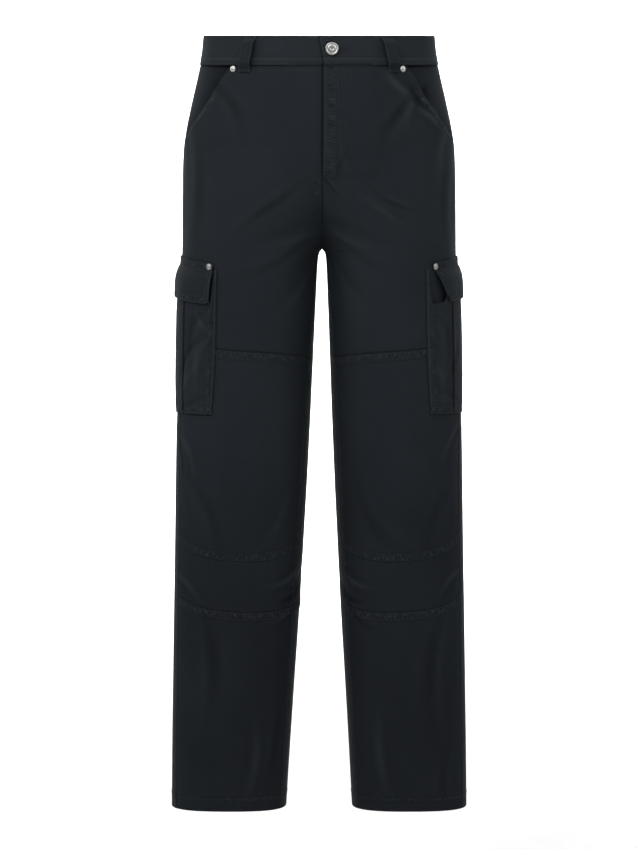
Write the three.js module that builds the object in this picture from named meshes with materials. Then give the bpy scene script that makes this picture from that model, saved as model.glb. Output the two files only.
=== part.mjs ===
// Cargo trousers in heavy cotton twill, standing open as they do on a wearer.
// Millimetres, +Z up, the front faces -Y and the wearer's left is +X.
// The origin is the middle of the waist opening, where the wearer's waist holds them.
// Heights are "levels": the drop below the waist rim, measured at the side seam.
import * as THREE from "three";

// Driving sizes
const HEM_LEVEL = -1039;
const CROTCH_LEVEL = -285;
const JOIN_HEIGHT = 135; // above the crotch, over which two legs become one body
const JOIN_POWER = 1.45;
const FORK_WIDTH = 4.4; // half the blunt width of the fork, reached within a few mm
const BAND_HEIGHT = 39.5;
const BAND_THICK = 3;
const BAND_PROUD = 1.2;
const UNDERLAP = 34;
const WAIST_TILT = 0.0857; // the rim is higher at the back, per mm of depth
const TILT_FADE = 240;
const MIDDLE_SHIFT = 4; // the fly and the fork lie this far towards the wearer's left
const CLOTH = 1.5;
const SEAM_GAP = 0.3;
const HEM_TURN = 22;
const HEM_EXTRA = 1.3;
const MM_PER_DEGREE = 1.6; // cloth length per degree round a leg

// Body and leg sections. outer: middle to side; gap: half the space between the legs;
// front, back: depth each way; round: superellipse exponent; side: degrees that the
// side seam sits in front of the side; inseam: degrees from the side, round the front.
const SECTIONS = [
  { level: 20, outer: 150, gap: 0, front: 102, back: 109, round: 2.2, side: 6, inseam: 180 },
  { level: 0, outer: 153.6, gap: 0, front: 104, back: 112, round: 2.2, side: 6, inseam: 180 },
  { level: -20, outer: 155.5, gap: 0, front: 105, back: 114, round: 2.2, side: 6, inseam: 180 },
  { level: -46, outer: 160.2, gap: 0, front: 107.5, back: 118, round: 2.2, side: 6, inseam: 180 },
  { level: -90, outer: 170.2, gap: 0, front: 112, back: 127, round: 2.2, side: 6, inseam: 180 },
  { level: -126, outer: 177.7, gap: 0, front: 115.5, back: 133, round: 2.2, side: 6, inseam: 180 },
  { level: -153, outer: 181.4, gap: 0, front: 117.5, back: 137, round: 2.2, side: 6, inseam: 180 },
  { level: -200, outer: 183, gap: 0, front: 117.5, back: 139, round: 2.2, side: 7, inseam: 180 },
  { level: -245, outer: 183.3, gap: 0, front: 113.5, back: 135, round: 2.2, side: 8, inseam: 180 },
  { level: -285, outer: 183.6, gap: 0, front: 108, back: 127, round: 2.25, side: 10, inseam: 180 },
  { level: -290, outer: 183.7, gap: 3.7, front: 107, back: 126, round: 2.25, side: 10, inseam: 178 },
  { level: -300, outer: 183.9, gap: 5.3, front: 106, back: 124, round: 2.25, side: 11, inseam: 175 },
  { level: -354, outer: 184.2, gap: 8, front: 100.5, back: 114, round: 2.3, side: 15, inseam: 166 },
  { level: -421, outer: 185.3, gap: 10.8, front: 95.5, back: 104, round: 2.3, side: 19, inseam: 159 },
  { level: -480, outer: 188.8, gap: 13.2, front: 91, back: 97, round: 2.3, side: 22, inseam: 156.5 },
  { level: -516, outer: 192.3, gap: 14.7, front: 88.5, back: 93, round: 2.3, side: 24, inseam: 155.5 },
  { level: -600, outer: 193.9, gap: 18.6, front: 84, back: 86, round: 2.3, side: 26, inseam: 154.5 },
  { level: -692, outer: 195.4, gap: 23.5, front: 79, back: 78, round: 2.35, side: 27, inseam: 154 },
  { level: -761, outer: 196.7, gap: 27.3, front: 76, back: 75, round: 2.35, side: 27, inseam: 154 },
  { level: -860, outer: 198.3, gap: 33.7, front: 70, back: 72, round: 2.4, side: 28, inseam: 154 },
  { level: -960, outer: 199.9, gap: 40, front: 64, back: 69, round: 2.6, side: 30, inseam: 154 },
  { level: -1039, outer: 200.7, gap: 44.5, front: 59, back: 66, round: 2.8, side: 31, inseam: 154 },
];

// Large soft folds. side: 1 wearer's left, -1 right; angle: degrees from the side, minus
// is frontwards; lean: degrees from upright; height: outwards, minus is a trough.
const FOLDS = [
  { side: 1, angle: -40, level: -118, lean: 38, length: 26, width: 9, height: 3.2 },
  { side: 1, angle: -52, level: -150, lean: 30, length: 40, width: 13, height: -2.2 },
  { side: -1, angle: -44, level: -168, lean: 34, length: 42, width: 14, height: -1.8 },
  { side: 1, angle: -118, level: -262, lean: -62, length: 44, width: 10, height: -2.6 },
  { side: -1, angle: -122, level: -256, lean: -58, length: 48, width: 11, height: -2.8 },
  { side: 1, angle: -132, level: -330, lean: -38, length: 56, width: 13, height: -2.4 },
  { side: -1, angle: -128, level: -338, lean: -34, length: 62, width: 14, height: -2.2 },
  { side: 1, angle: -82, level: -560, lean: 4, length: 120, width: 17, height: 2.2 },
  { side: -1, angle: -74, level: -575, lean: -3, length: 130, width: 18, height: 2.0 },
  { side: 1, angle: -56, level: -590, lean: 5, length: 90, width: 13, height: -2.0 },
  { side: -1, angle: -118, level: -600, lean: 6, length: 110, width: 16, height: -2.2 },
  { side: 1, angle: -150, level: -742, lean: -72, length: 30, width: 9, height: -3.2 },
  { side: -1, angle: -152, level: -736, lean: -66, length: 34, width: 9, height: -3.6 },
  { side: -1, angle: -160, level: -765, lean: -80, length: 28, width: 8, height: 2.6 },
  { side: 1, angle: -90, level: -890, lean: 3, length: 110, width: 20, height: 1.8 },
  { side: -1, angle: -96, level: -905, lean: -3, length: 115, width: 20, height: 2.0 },
  { side: 1, angle: 98, level: -262, lean: 62, length: 50, width: 12, height: -4.2 },
  { side: -1, angle: 94, level: -266, lean: 60, length: 52, width: 12, height: -4.0 },
  { side: 1, angle: 78, level: -300, lean: 68, length: 54, width: 12, height: 3.0 },
  { side: -1, angle: 74, level: -305, lean: 66, length: 56, width: 12, height: 2.8 },
  { side: 1, angle: 120, level: -340, lean: 48, length: 60, width: 13, height: -3.4 },
  { side: -1, angle: 122, level: -344, lean: 46, length: 60, width: 13, height: -3.2 },
  { side: 1, angle: 84, level: -668, lean: 82, length: 46, width: 11, height: -4.4 },
  { side: -1, angle: 92, level: -660, lean: 78, length: 48, width: 11, height: -4.2 },
  { side: 1, angle: 112, level: -706, lean: 96, length: 44, width: 11, height: -4.6 },
  { side: -1, angle: 74, level: -700, lean: 98, length: 46, width: 11, height: -4.4 },
  { side: 1, angle: 88, level: -744, lean: 80, length: 40, width: 12, height: -3.4 },
  { side: -1, angle: 104, level: -742, lean: 84, length: 42, width: 12, height: -3.6 },
  { side: 1, angle: 96, level: -900, lean: 2, length: 120, width: 18, height: 2.4 },
  { side: -1, angle: 88, level: -915, lean: -4, length: 115, width: 18, height: 2.2 },
];

// The slanted pocket mouths: degrees in front of the side; the left one hangs open
const POCKET_MOUTH = [
  { level: -39, left: 47, right: 45 },
  { level: -54, left: 41.5, right: 40 },
  { level: -76, left: 37.5, right: 34.5 },
  { level: -99, left: 31, right: 27.5 },
  { level: -121, left: 20.5, right: 17.5 },
  { level: -143, left: 6.3, right: 6.3 },
];
const MOUTH_END = -143;
const FLY_END = -196;
const FLY_WIDTH = 34;
const FLY_STEP = CLOTH + SEAM_GAP;

// Seams across the front of each leg, as levels against degrees from the side
const thighSeam = (degrees) => -416 - 0.14 * (degrees - 60);
const kneeTop = (degrees) => -700 + 18.5 * ((degrees - 97) / 60) ** 2;
const kneeBottom = (degrees) => -767.5 + 16 * ((degrees - 105) / 70) ** 2;
const hemLine = () => HEM_LEVEL;

// Cargo pocket and flap, centred on the side seam
const POCKET = { centre: { 1: -14, "-1": -17 }, halfWidth: 78, top: -330, bottom: -504 };
const FLAP = {
  halfWidth: 80,
  frontWidth: { left: 68.5, right: 72.5 },
  taper: { left: 0.36, right: 0.02 },
  top: -297,
  depth: 54,
  slope: 0.1,
  thick: 2,
};
const POCKET_CLOTH = 1.1;
const PLEAT = { half: 18, groove: 2.2, raise: 1.3, wall: 1.6 };
// How far the pocket's face stands off the leg
const POCKET_LIFT = [
  { level: -504, lift: 1.9 },
  { level: -497, lift: 2.6 },
  { level: -480, lift: 4.3 },
  { level: -450, lift: 6.4 },
  { level: -410, lift: 7.4 },
  { level: -360, lift: 7 },
  { level: -330, lift: 6.5 },
];
// How far the flap's face stands off the leg, by the distance below its stitched top
const FLAP_LIFT = [
  { level: 0, lift: 2.6 },
  { level: -9, lift: 3 },
  { level: -16, lift: 6.2 },
  { level: -24, lift: 8.6 },
  { level: -36, lift: 9.9 },
  { level: -54, lift: 10.1 },
];

const LOOP = { width: 12, thick: 1.8, slack: 6.9, top: -1, bottom: -49 }; // a belt passes through the slack
// Belt loops: degrees from the side at the head and the foot, minus is frontwards
const LOOPS = [
  { name: "belt_loop_front_left", side: 1, head: -58.4, foot: -55.3 },
  { name: "belt_loop_front_right", side: -1, head: -56.3, foot: -54 },
  { name: "belt_loop_back_left", side: 1, head: 38, foot: 38 },
  { name: "belt_loop_back_right", side: -1, head: 38, foot: 38 },
  { name: "belt_loop_centre_back", side: 1, head: 90, foot: 90 },
];
const BUTTON = { radius: 8.7, x: 16.6, level: -17.5 };
const RIVET_RADIUS = 4.2;
const HIP_RIVET = { left: -49.5, right: -46.5, level: -44.1 };

const SIDES = { 1: "left", "-1": "right" };
const radians = THREE.MathUtils.degToRad;
const smooth = (t) => THREE.MathUtils.smoothstep(t, 0, 1);
const signedPower = (value, power) => Math.sign(value) * Math.abs(value) ** power;
const mix = THREE.MathUtils.lerp;

// A column of a table at a level, by a smooth curve that never overshoots its rows
function readTable(table, column, level) {
  const rows = [...table].sort((a, b) => b.level - a.level);
  const at = THREE.MathUtils.clamp(level, rows[rows.length - 1].level, rows[0].level);
  let i = rows.findIndex((row) => row.level <= at) - 1;
  i = THREE.MathUtils.clamp(i, 0, rows.length - 2);
  const slope = (k) => (rows[k + 1][column] - rows[k][column]) / (rows[k + 1].level - rows[k].level);
  const tangent = (k) => {
    if (k === 0) return slope(0);
    if (k === rows.length - 1) return slope(k - 1);
    const [a, b] = [slope(k - 1), slope(k)];
    return a * b > 0 ? (2 * a * b) / (a + b) : 0;
  };
  const span = rows[i + 1].level - rows[i].level;
  const t = (at - rows[i].level) / span;
  return (
    (1 + 2 * t) * (1 - t) ** 2 * rows[i][column] +
    t * (1 - t) ** 2 * span * tangent(i) +
    t * t * (3 - 2 * t) * rows[i + 1][column] +
    t * t * (t - 1) * span * tangent(i + 1)
  );
}

const section = (column, level) => readTable(SECTIONS, column, level);
const middleOf = (level) => MIDDLE_SHIFT * Math.min(1, (level - HEM_LEVEL) / (CROTCH_LEVEL - HEM_LEVEL));
const tiltAt = (level) => WAIST_TILT * (1 - smooth(-level / TILT_FADE));
const forkAt = (level) => (level < CROTCH_LEVEL ? FORK_WIDTH * (1 - Math.exp((level - CROTCH_LEVEL) / 4)) : 0);
const joinAt = (level) => Math.min(1, (level - CROTCH_LEVEL) / JOIN_HEIGHT) ** JOIN_POWER;

// A half's section as an ellipse-like ring whose inner end slides past the middle
function ringAt(side, level) {
  const outer = section("outer", level) - side * middleOf(level);
  const inner = level > CROTCH_LEVEL ? -outer * joinAt(level) : section("gap", level) - forkAt(level);
  return { centre: (outer + inner) / 2, half: (outer - inner) / 2 };
}

// The angle, from the side, at which a half meets the middle plane or the inseam
function middleAngle(side, level) {
  if (level <= CROTCH_LEVEL) return 180;
  const { centre, half } = ringAt(side, level);
  return 180 - THREE.MathUtils.radToDeg(Math.acos((centre / half) ** (section("round", level) / 2)));
}
const inseamAngle = (level) => (level < CROTCH_LEVEL ? section("inseam", level) : 180);

function smoothSkin(side, angle, level) {
  const { centre, half } = ringAt(side, level);
  const power = 2 / section("round", level);
  const sine = Math.sin(radians(angle));
  const depth = section(sine < 0 ? "front" : "back", level);
  const across = signedPower(Math.cos(radians(angle)), power);
  const fork = forkAt(level) * ((1 - across) / 2) ** 4; // only the inner leg gives way there
  const x = middleOf(level) + side * (centre + half * across + fork);
  const y = depth * signedPower(sine, power);
  return new THREE.Vector3(x, y, level + tiltAt(level) * y);
}

function foldHeight(side, angle, level) {
  let height = 0;
  for (const fold of FOLDS) {
    if (fold.side !== side) continue;
    const turn = ((((angle - fold.angle) % 360) + 540) % 360) - 180;
    const [round, up] = [turn * MM_PER_DEGREE, level - fold.level];
    const lean = radians(fold.lean);
    const along = round * Math.sin(lean) + up * Math.cos(lean);
    const across = round * Math.cos(lean) - up * Math.sin(lean);
    height += fold.height * Math.exp(-((across / fold.width) ** 2) - (along / fold.length) ** 2);
  }
  return height;
}

// A point of the garment's face, moved out along its normal
function skin(side, angle, level, lift = 0) {
  const [turn, drop] = [0.8, 1.5];
  const round = smoothSkin(side, angle + turn, level).sub(smoothSkin(side, angle - turn, level));
  const up = smoothSkin(side, angle, level + drop).sub(smoothSkin(side, angle, level - drop));
  const normal = round.cross(up).multiplyScalar(side).normalize();
  return smoothSkin(side, angle, level).addScaledVector(normal, lift + foldHeight(side, angle, level));
}

function normalAt(side, angle, level) {
  return skin(side, angle, level, 1).sub(skin(side, angle, level)).normalize();
}

// Turns a grid of {side, angle, level, lift, thick} places into a closed cloth wall.
// reach is the least distance that it keeps from the middle plane.
function clothWall(places, reach = -Infinity) {
  const [rows, columns] = [places.length, places[0].length];
  const vertices = [];
  for (const face of [0, 1])
    for (const row of places)
      for (const p of row) {
        const point = skin(p.side, p.angle, p.level, p.lift - face * p.thick);
        const middle = middleOf(p.level);
        point.x = middle + p.side * Math.max(reach, p.side * (point.x - middle));
        vertices.push(point);
      }
  const at = (face, i, j) => face * rows * columns + i * columns + j;
  const triangles = [];
  const quad = (a, b, c, d) => triangles.push(a, b, c, a, c, d);
  for (let i = 0; i < rows - 1; i++)
    for (let j = 0; j < columns - 1; j++) {
      quad(at(0, i, j), at(0, i, j + 1), at(0, i + 1, j + 1), at(0, i + 1, j));
      quad(at(1, i, j), at(1, i + 1, j), at(1, i + 1, j + 1), at(1, i, j + 1));
    }
  for (let j = 0; j < columns - 1; j++) {
    quad(at(0, 0, j), at(1, 0, j), at(1, 0, j + 1), at(0, 0, j + 1));
    quad(at(0, rows - 1, j), at(0, rows - 1, j + 1), at(1, rows - 1, j + 1), at(1, rows - 1, j));
  }
  for (let i = 0; i < rows - 1; i++) {
    quad(at(0, i, 0), at(0, i + 1, 0), at(1, i + 1, 0), at(1, i, 0));
    quad(at(0, i, columns - 1), at(1, i, columns - 1), at(1, i + 1, columns - 1), at(0, i + 1, columns - 1));
  }
  return closedGeometry(vertices, triangles);
}

// Faces the triangles outwards, whichever way the grid ran
function closedGeometry(vertices, triangles) {
  let volume = 0;
  for (let i = 0; i < triangles.length; i += 3) {
    const [a, b, c] = [0, 1, 2].map((k) => vertices[triangles[i + k]]);
    volume += a.dot(b.clone().cross(c));
  }
  if (volume < 0) triangles.reverse();
  const geometry = new THREE.BufferGeometry().setFromPoints(vertices);
  geometry.setIndex(triangles);
  geometry.computeVertexNormals();
  return geometry;
}

const steps = (count) => Array.from({ length: count + 1 }, (_, i) => i / count);
const between = (from, to, count) => steps(count).map((t) => mix(from, to, t));

const twill = new THREE.MeshStandardMaterial({ color: 0x23282b, roughness: 0.9, metalness: 0 });
const nickel = new THREE.MeshStandardMaterial({ color: 0x8f9190, roughness: 0.4, metalness: 0.9 });
const trousers = new THREE.Group();

function addPiece(name, geometry, material = twill) {
  const mesh = new THREE.Mesh(geometry, material);
  mesh.name = name;
  trousers.add(mesh);
  return mesh;
}

const inset = SEAM_GAP / 2 / MM_PER_DEGREE;
const wallAt = (level) => CLOTH + HEM_EXTRA * smooth((HEM_LEVEL + HEM_TURN - level) / 3 + 1);
const sideAngle = (level) => section("side", level);
const mouthAngle = (side, level) =>
  level > MOUTH_END ? readTable(POCKET_MOUTH, SIDES[side], level) : sideAngle(level);

// The wearer's left front laps over the right one down to the fly's end
function flyLift(side, level, fromMiddle) {
  if (side < 0) return 0;
  return FLY_STEP * smooth((level - FLY_END) / 12) * (1 - smooth((fromMiddle - FLY_WIDTH) / 8));
}

// A front panel, from its outer edge to the middle or the inseam. levelAt gives the level
// of a row at any angle; the edges move with the level, so the two settle together.
function frontPanel(side, levelAt, rows, columns) {
  const places = rows.map((row) =>
    columns.map((u) => {
      let degrees = 90;
      let level = levelAt(row, degrees);
      for (let pass = 0; pass < 6; pass++) {
        const innerEdge = Math.min(middleAngle(side, level), inseamAngle(level)) - inset;
        degrees = mix(mouthAngle(side, level) + inset, innerEdge, u);
        level = levelAt(row, degrees);
      }
      const fromMiddle = (middleAngle(side, level) - degrees) * MM_PER_DEGREE;
      const lift = flyLift(side, level, fromMiddle);
      return { side, angle: -degrees, level, lift, thick: wallAt(level) };
    }),
  );
  return clothWall(places, SEAM_GAP / 2);
}

// Rows that share the height between two seams
const betweenSeams = (top, bottom) => (share, degrees) =>
  mix(top(degrees) - SEAM_GAP / 2, bottom(degrees) + SEAM_GAP / 2, share);

// Level rows, which bend to the thigh seam only below the fork
const FORK_ROWS_END = -303;
function upperLevel(row, degrees) {
  const share = Math.max(0, FORK_ROWS_END - row) / (FORK_ROWS_END - thighSeam(90));
  return row + (thighSeam(degrees) - thighSeam(90)) * share ** 2;
}
const bodyLevels = [
  -39.65, -54, -76, -99, -121, -143, -165, -188, -210, -232, -250, -264, -274, -281, -285, -287, -292, -303, -322,
  -348, -374, -398,
];
const upperRows = [...bodyLevels, thighSeam(90) + SEAM_GAP / 2];
const panelColumns = [0, 0.09, 0.19, 0.3, 0.41, 0.52, 0.63, 0.74, 0.84, 0.92, 0.97, 1];

const lowerShares = [...between(0, 0.915, 10), 0.94, 1];

// The back is cut in one from the band to the hem, round the inner leg to the inseam. Here
// it is four shells, so that each one is short enough to be a simple half tube.
const backLevels = [
  ...bodyLevels,
  ...between(-424, HEM_LEVEL + HEM_TURN, 20),
  HEM_LEVEL + HEM_TURN - 6,
  HEM_LEVEL,
];
const BACK_SHELLS = [
  { name: "back_seat", first: 0, last: 17 },
  { name: "back_thigh", first: 17, last: 25 },
  { name: "back_knee", first: 25, last: 33 },
  { name: "back_shin", first: 33, last: backLevels.length - 1 },
];
function backPanel(side, { first, last }) {
  const columns = [0, 0.07, 0.14, 0.22, 0.31, 0.4, 0.49, 0.58, 0.67, 0.76, 0.85, 0.93, 0.975, 1];
  const levels = backLevels.slice(first, last + 1);
  if (first > 0) levels[0] -= SEAM_GAP / 2;
  if (last < backLevels.length - 1) levels[levels.length - 1] += SEAM_GAP / 2;
  const places = levels.map((level) =>
    columns.map((u) => {
      const from = -sideAngle(level) + inset;
      const to = level > CROTCH_LEVEL ? middleAngle(side, level) : 360 - inseamAngle(level);
      return { side, angle: mix(from, to - inset, u), level, lift: 0, thick: wallAt(level) };
    }),
  );
  return clothWall(places, SEAM_GAP / 2);
}

// The hip facing fills the slanted pocket mouth and runs on under the front panel
function hipFacing(side) {
  const deep = CLOTH + 1.9;
  const places = between(-BAND_HEIGHT - SEAM_GAP / 2, MOUTH_END + 2, 9).map((level) => {
    const from = sideAngle(level) + inset;
    const mouth = Math.max(mouthAngle(side, level) - 1.5, from + 0.5);
    const closing = smooth((-104 - level) / 14);
    const open = [0, 0.35, 0.7, 1].map((u) => ({ degrees: mix(from, mouth, u), sink: Math.max(smooth(u), closing) }));
    const under = [4, 9, 14].map((more) => ({ degrees: mouth + more, sink: 1 }));
    return [...open, ...under].map(({ degrees, sink }) => ({
      side,
      angle: -degrees,
      level,
      lift: -deep * sink,
      thick: CLOTH,
    }));
  });
  return clothWall(places);
}

// One strip all round the waist; the right end passes under the left one
function waistband() {
  const lapStart = (v) => -1.3 + 1.8 * v;
  const underlapTurn = UNDERLAP / 1.85;
  const sinkTo = BAND_THICK + SEAM_GAP;
  const columns = [...between(0, 340, 44), 346, 351, 355, 358, 360, 360 + underlapTurn / 2, 360 + underlapTurn];
  const places = [0, 0.04, 0.5, 0.96, 1].map((v) =>
    columns.map((turn) => {
      const level = -BAND_HEIGHT * v + (v === 1 ? SEAM_GAP / 2 : 0);
      const along = Math.max(turn, lapStart(v) * (turn === 0 ? 1 : 0));
      const onLeft = along < 180 || along >= 360;
      const angle = along < 180 ? along - 90 : along < 360 ? 270 - along : along - 450;
      const start = turn === 0 ? lapStart(v) - 90 : angle;
      const edgeRound = v === 0 || v === 1 ? 0.5 : 0;
      const sink = sinkTo * smooth((turn - 343) / 13);
      return {
        side: onLeft ? 1 : -1,
        angle: start,
        level,
        lift: BAND_PROUD - sink - edgeRound,
        thick: BAND_THICK - 2 * edgeRound,
      };
    }),
  );
  return clothWall(places);
}

// A belt loop: tacked at both ends and slack between them
function beltLoop({ side, head, foot }) {
  const shares = [0, 0.07, 0.13, 0.2, 0.35, 0.5, 0.65, 0.76, 0.83, 0.89, 0.95, 1];
  const places = shares.map((v) =>
    [-0.5, 0, 0.5].map((across) => {
      const level = mix(LOOP.top, LOOP.bottom, v);
      const onBand = BAND_PROUD * smooth((level + BAND_HEIGHT + 1) / 4);
      const slack = LOOP.slack * smooth((v - 0.05) / 0.16) * smooth((0.93 - v) / 0.16);
      const turn = (across * LOOP.width) / (head > 60 || head < -50 ? 1.95 : 2.2);
      return {
        side,
        angle: mix(head, foot, v) + turn,
        level,
        lift: onBand + SEAM_GAP + slack + LOOP.thick,
        thick: LOOP.thick,
      };
    }),
  );
  return clothWall(places);
}

// The pocket's face over its width: gusset, flat, and a raised box pleat in the middle
function pocketProfile(across, level) {
  const full = readTable(POCKET_LIFT, "lift", level);
  const gusset = mix(5, 9, smooth((level + 480) / 120));
  const fromEdge = POCKET.halfWidth - Math.abs(across);
  const rise = smooth(fromEdge / gusset);
  const closing = smooth((level - POCKET.bottom) / 14);
  const inPleat = Math.abs(across) - PLEAT.half;
  const box = PLEAT.raise * smooth(-inPleat / PLEAT.wall) * smooth((POCKET.top - 4 - level) / 40);
  const groove = PLEAT.groove * Math.max(0, 1 - Math.abs(inPleat - 0.4) / 1.6);
  const edge = CLOTH + SEAM_GAP;
  return Math.max(edge, edge + (full - edge) * rise + (box - groove) * closing * rise);
}

const pocketDegrees = (side, across) => POCKET.centre[side] - across / MM_PER_DEGREE;

// The mouth runs parallel to the flap's stitching, the bottom runs level
function cargoPocket(side) {
  const half = [0, 9, 16, 18.4, 20.4, 30, 44, 58, 68, 72, 76, 78];
  const columns = [...half.slice(1).map((a) => -a).reverse(), ...half];
  const rows = [-330, -337, -352, -374, -398, -424, -450, -472, -488, -497, -504];
  const places = rows.map((row) =>
    columns.map((across) => ({
      side,
      angle: pocketDegrees(side, across),
      level: row - (FLAP.slope * across * (row - POCKET.bottom)) / (POCKET.top - POCKET.bottom),
      lift: pocketProfile(across, row),
      thick: POCKET_CLOTH,
    })),
  );
  return clothWall(places);
}

// The flap: stitched flat along its top, then standing off over the pocket's mouth
const flapLevel = (across, down) => FLAP.top - FLAP.slope * across - down;
const flapLift = (down) => readTable(FLAP_LIFT, "lift", -down);

function cargoFlap(side) {
  const half = [0, 0.16, 0.32, 0.47, 0.61, 0.74, 0.85, 0.94, 1];
  const columns = [...half.slice(1).map((a) => -a).reverse(), ...half];
  const front = FLAP.frontWidth[SIDES[side]];
  const taper = FLAP.taper[SIDES[side]]; // the left flap's front edge swings back
  const places = [0, 4, 9, 14, 19, 26, 38, 49, 54].map((down) =>
    columns.map((u) => {
      const share = down / FLAP.depth;
      const across = u > 0 ? u * front * (1 - taper * share) : u * FLAP.halfWidth;
      const corner = 3 * smooth((Math.abs(u) - 0.9) / 0.1) * smooth((share - 0.8) / 0.2);
      return {
        side,
        angle: pocketDegrees(side, across),
        level: flapLevel(across, down) + corner,
        lift: flapLift(down),
        thick: FLAP.thick,
      };
    }),
  );
  return clothWall(places);
}

// A turned metal piece, its foot towards the cloth and its axis along the cloth's normal
function turned(name, profile, segments, side, angle, level, lift) {
  const points = profile.map(([radius, height]) => new THREE.Vector2(radius, height));
  const mesh = addPiece(name, new THREE.LatheGeometry(points, segments), nickel);
  mesh.position.copy(skin(side, angle, level, lift));
  mesh.quaternion.setFromUnitVectors(new THREE.Vector3(0, 1, 0), normalAt(side, angle, level));
  return mesh;
}

function rivet(name, side, angle, level, lift) {
  const r = RIVET_RADIUS;
  const profile = [[0, 0], [r - 0.3, 0], [r, 0.4], [r - 0.5, 1], [r - 1.6, 1.15], [1.7, 1.3], [1.1, 1.9], [0, 2.1]];
  return turned(name, profile, 14, side, angle, level, lift + SEAM_GAP + 0.15);
}

function jeansButton() {
  const r = BUTTON.radius;
  const profile = [[0, 0], [3, 0], [3, 1.6], [r - 0.6, 1.8], [r, 2.5], [r - 0.4, 3.5], [r - 1.6, 3.9], [r - 2.6, 3.6], [0, 3.8]];
  const half = ringAt(1, BUTTON.level).half;
  const share = ((BUTTON.x - MIDDLE_SHIFT) / half) ** (section("round", BUTTON.level) / 2);
  const angle = -THREE.MathUtils.radToDeg(Math.acos(share));
  return turned("button", profile, 24, 1, angle, BUTTON.level, BAND_PROUD + SEAM_GAP);
}

addPiece("waistband", waistband());
jeansButton();
for (const loop of LOOPS) addPiece(loop.name, beltLoop(loop));

for (const side of [1, -1]) {
  const suffix = SIDES[side];
  const thighRows = betweenSeams(thighSeam, kneeTop);
  const kneeRows = betweenSeams(kneeTop, kneeBottom);
  const lowerRows = betweenSeams(kneeBottom, hemLine);
  addPiece(`front_upper_${suffix}`, frontPanel(side, upperLevel, upperRows, panelColumns));
  addPiece(`front_thigh_${suffix}`, frontPanel(side, thighRows, steps(11), panelColumns));
  addPiece(`knee_${suffix}`, frontPanel(side, kneeRows, steps(4), panelColumns));
  addPiece(`front_lower_${suffix}`, frontPanel(side, lowerRows, lowerShares, panelColumns));
  for (const shell of BACK_SHELLS) addPiece(`${shell.name}_${suffix}`, backPanel(side, shell));
  addPiece(`hip_facing_${suffix}`, hipFacing(side));
  addPiece(`cargo_pocket_${suffix}`, cargoPocket(side));
  addPiece(`cargo_flap_${suffix}`, cargoFlap(side));
  rivet(`rivet_hip_${suffix}`, side, HIP_RIVET[suffix], HIP_RIVET.level, 0);
  for (const [place, across] of [["front", side > 0 ? 63 : 67], ["back", -67]]) {
    const down = 5.2;
    const level = flapLevel(across, down);
    rivet(`rivet_flap_${place}_${suffix}`, side, pocketDegrees(side, across), level, flapLift(down));
  }
}

export default trousers;
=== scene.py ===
import math

import bmesh
import bpy
import numpy as np
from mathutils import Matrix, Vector


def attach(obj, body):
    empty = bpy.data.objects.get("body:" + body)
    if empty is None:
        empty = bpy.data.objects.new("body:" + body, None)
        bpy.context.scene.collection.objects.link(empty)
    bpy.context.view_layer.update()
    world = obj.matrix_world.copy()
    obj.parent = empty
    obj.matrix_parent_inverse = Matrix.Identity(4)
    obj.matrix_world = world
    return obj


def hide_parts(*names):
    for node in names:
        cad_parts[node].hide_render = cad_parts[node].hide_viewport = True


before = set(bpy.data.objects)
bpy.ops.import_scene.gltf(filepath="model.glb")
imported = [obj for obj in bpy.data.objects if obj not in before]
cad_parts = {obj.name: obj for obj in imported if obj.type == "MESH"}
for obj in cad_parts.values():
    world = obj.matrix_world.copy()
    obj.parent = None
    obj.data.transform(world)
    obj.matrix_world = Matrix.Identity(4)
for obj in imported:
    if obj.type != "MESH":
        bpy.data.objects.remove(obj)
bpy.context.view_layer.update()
print("frame loaded", len(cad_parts), "nodes")

# All lengths below are millimetres unless a name says otherwise.
# "level" is the drop below the waist rim at the side seam, "angle" is in degrees round
# a half of the trousers from its outer side: minus is the front, plus is the back.

# ---- the camera and the light ----
shot = {"lens": 110, "place": (-0.0008, -3.5, -0.30), "lookAt": (-0.0008, 0, -0.522)}
studio = {
    "floorDrop": 0.21,  # metres below the hems
    "key": {"place": (-1.1, -2.2, 1.7), "size": 1.5, "power": 54},
    "fill": {"place": (1.3, -2.4, 1.4), "size": 1.6, "power": 31},
    "leftRim": {"place": (-2.2, -0.9, 0.9), "size": 1.2, "power": 24},
    "rightRim": {"place": (2.2, -0.9, 0.9), "size": 1.2, "power": 17},
    "rearLeft": {"place": (-1.5, 2.4, 1.5), "size": 1.4, "power": 48},
    "rearRight": {"place": (1.5, 2.4, 1.5), "size": 1.4, "power": 42},
    "wallLeft": {"place": (-1.9, 4.1, 0.7), "size": 1.6, "power": 180},
    "wallRight": {"place": (1.9, 4.1, 0.7), "size": 1.6, "power": 180},
    "air": 0.12,
    "wallAt": 6.2,  # metres behind the trousers, past the cameras of the other views
}


def makeCamera():
    data = bpy.data.cameras.new("camera")
    data.lens = shot["lens"]
    data.sensor_fit = "AUTO"
    data.sensor_width = 36
    cam = bpy.data.objects.new("camera", data)
    cam.location = shot["place"]
    aim = Vector(shot["lookAt"]) - Vector(shot["place"])
    cam.rotation_euler = aim.to_track_quat("-Z", "Y").to_euler()
    bpy.context.scene.collection.objects.link(cam)
    bpy.context.scene.camera = cam


def makeLight(name, settings, aim=(0, 0, -0.5)):
    data = bpy.data.lights.new(name, "AREA")
    data.shape = "DISK"
    data.size = settings["size"]
    data.energy = settings["power"]
    lamp = bpy.data.objects.new(name, data)
    lamp.location = settings["place"]
    lamp.rotation_euler = (Vector(aim) - Vector(settings["place"])).to_track_quat("-Z", "Y").to_euler()
    bpy.context.scene.collection.objects.link(lamp)


makeCamera()

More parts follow.
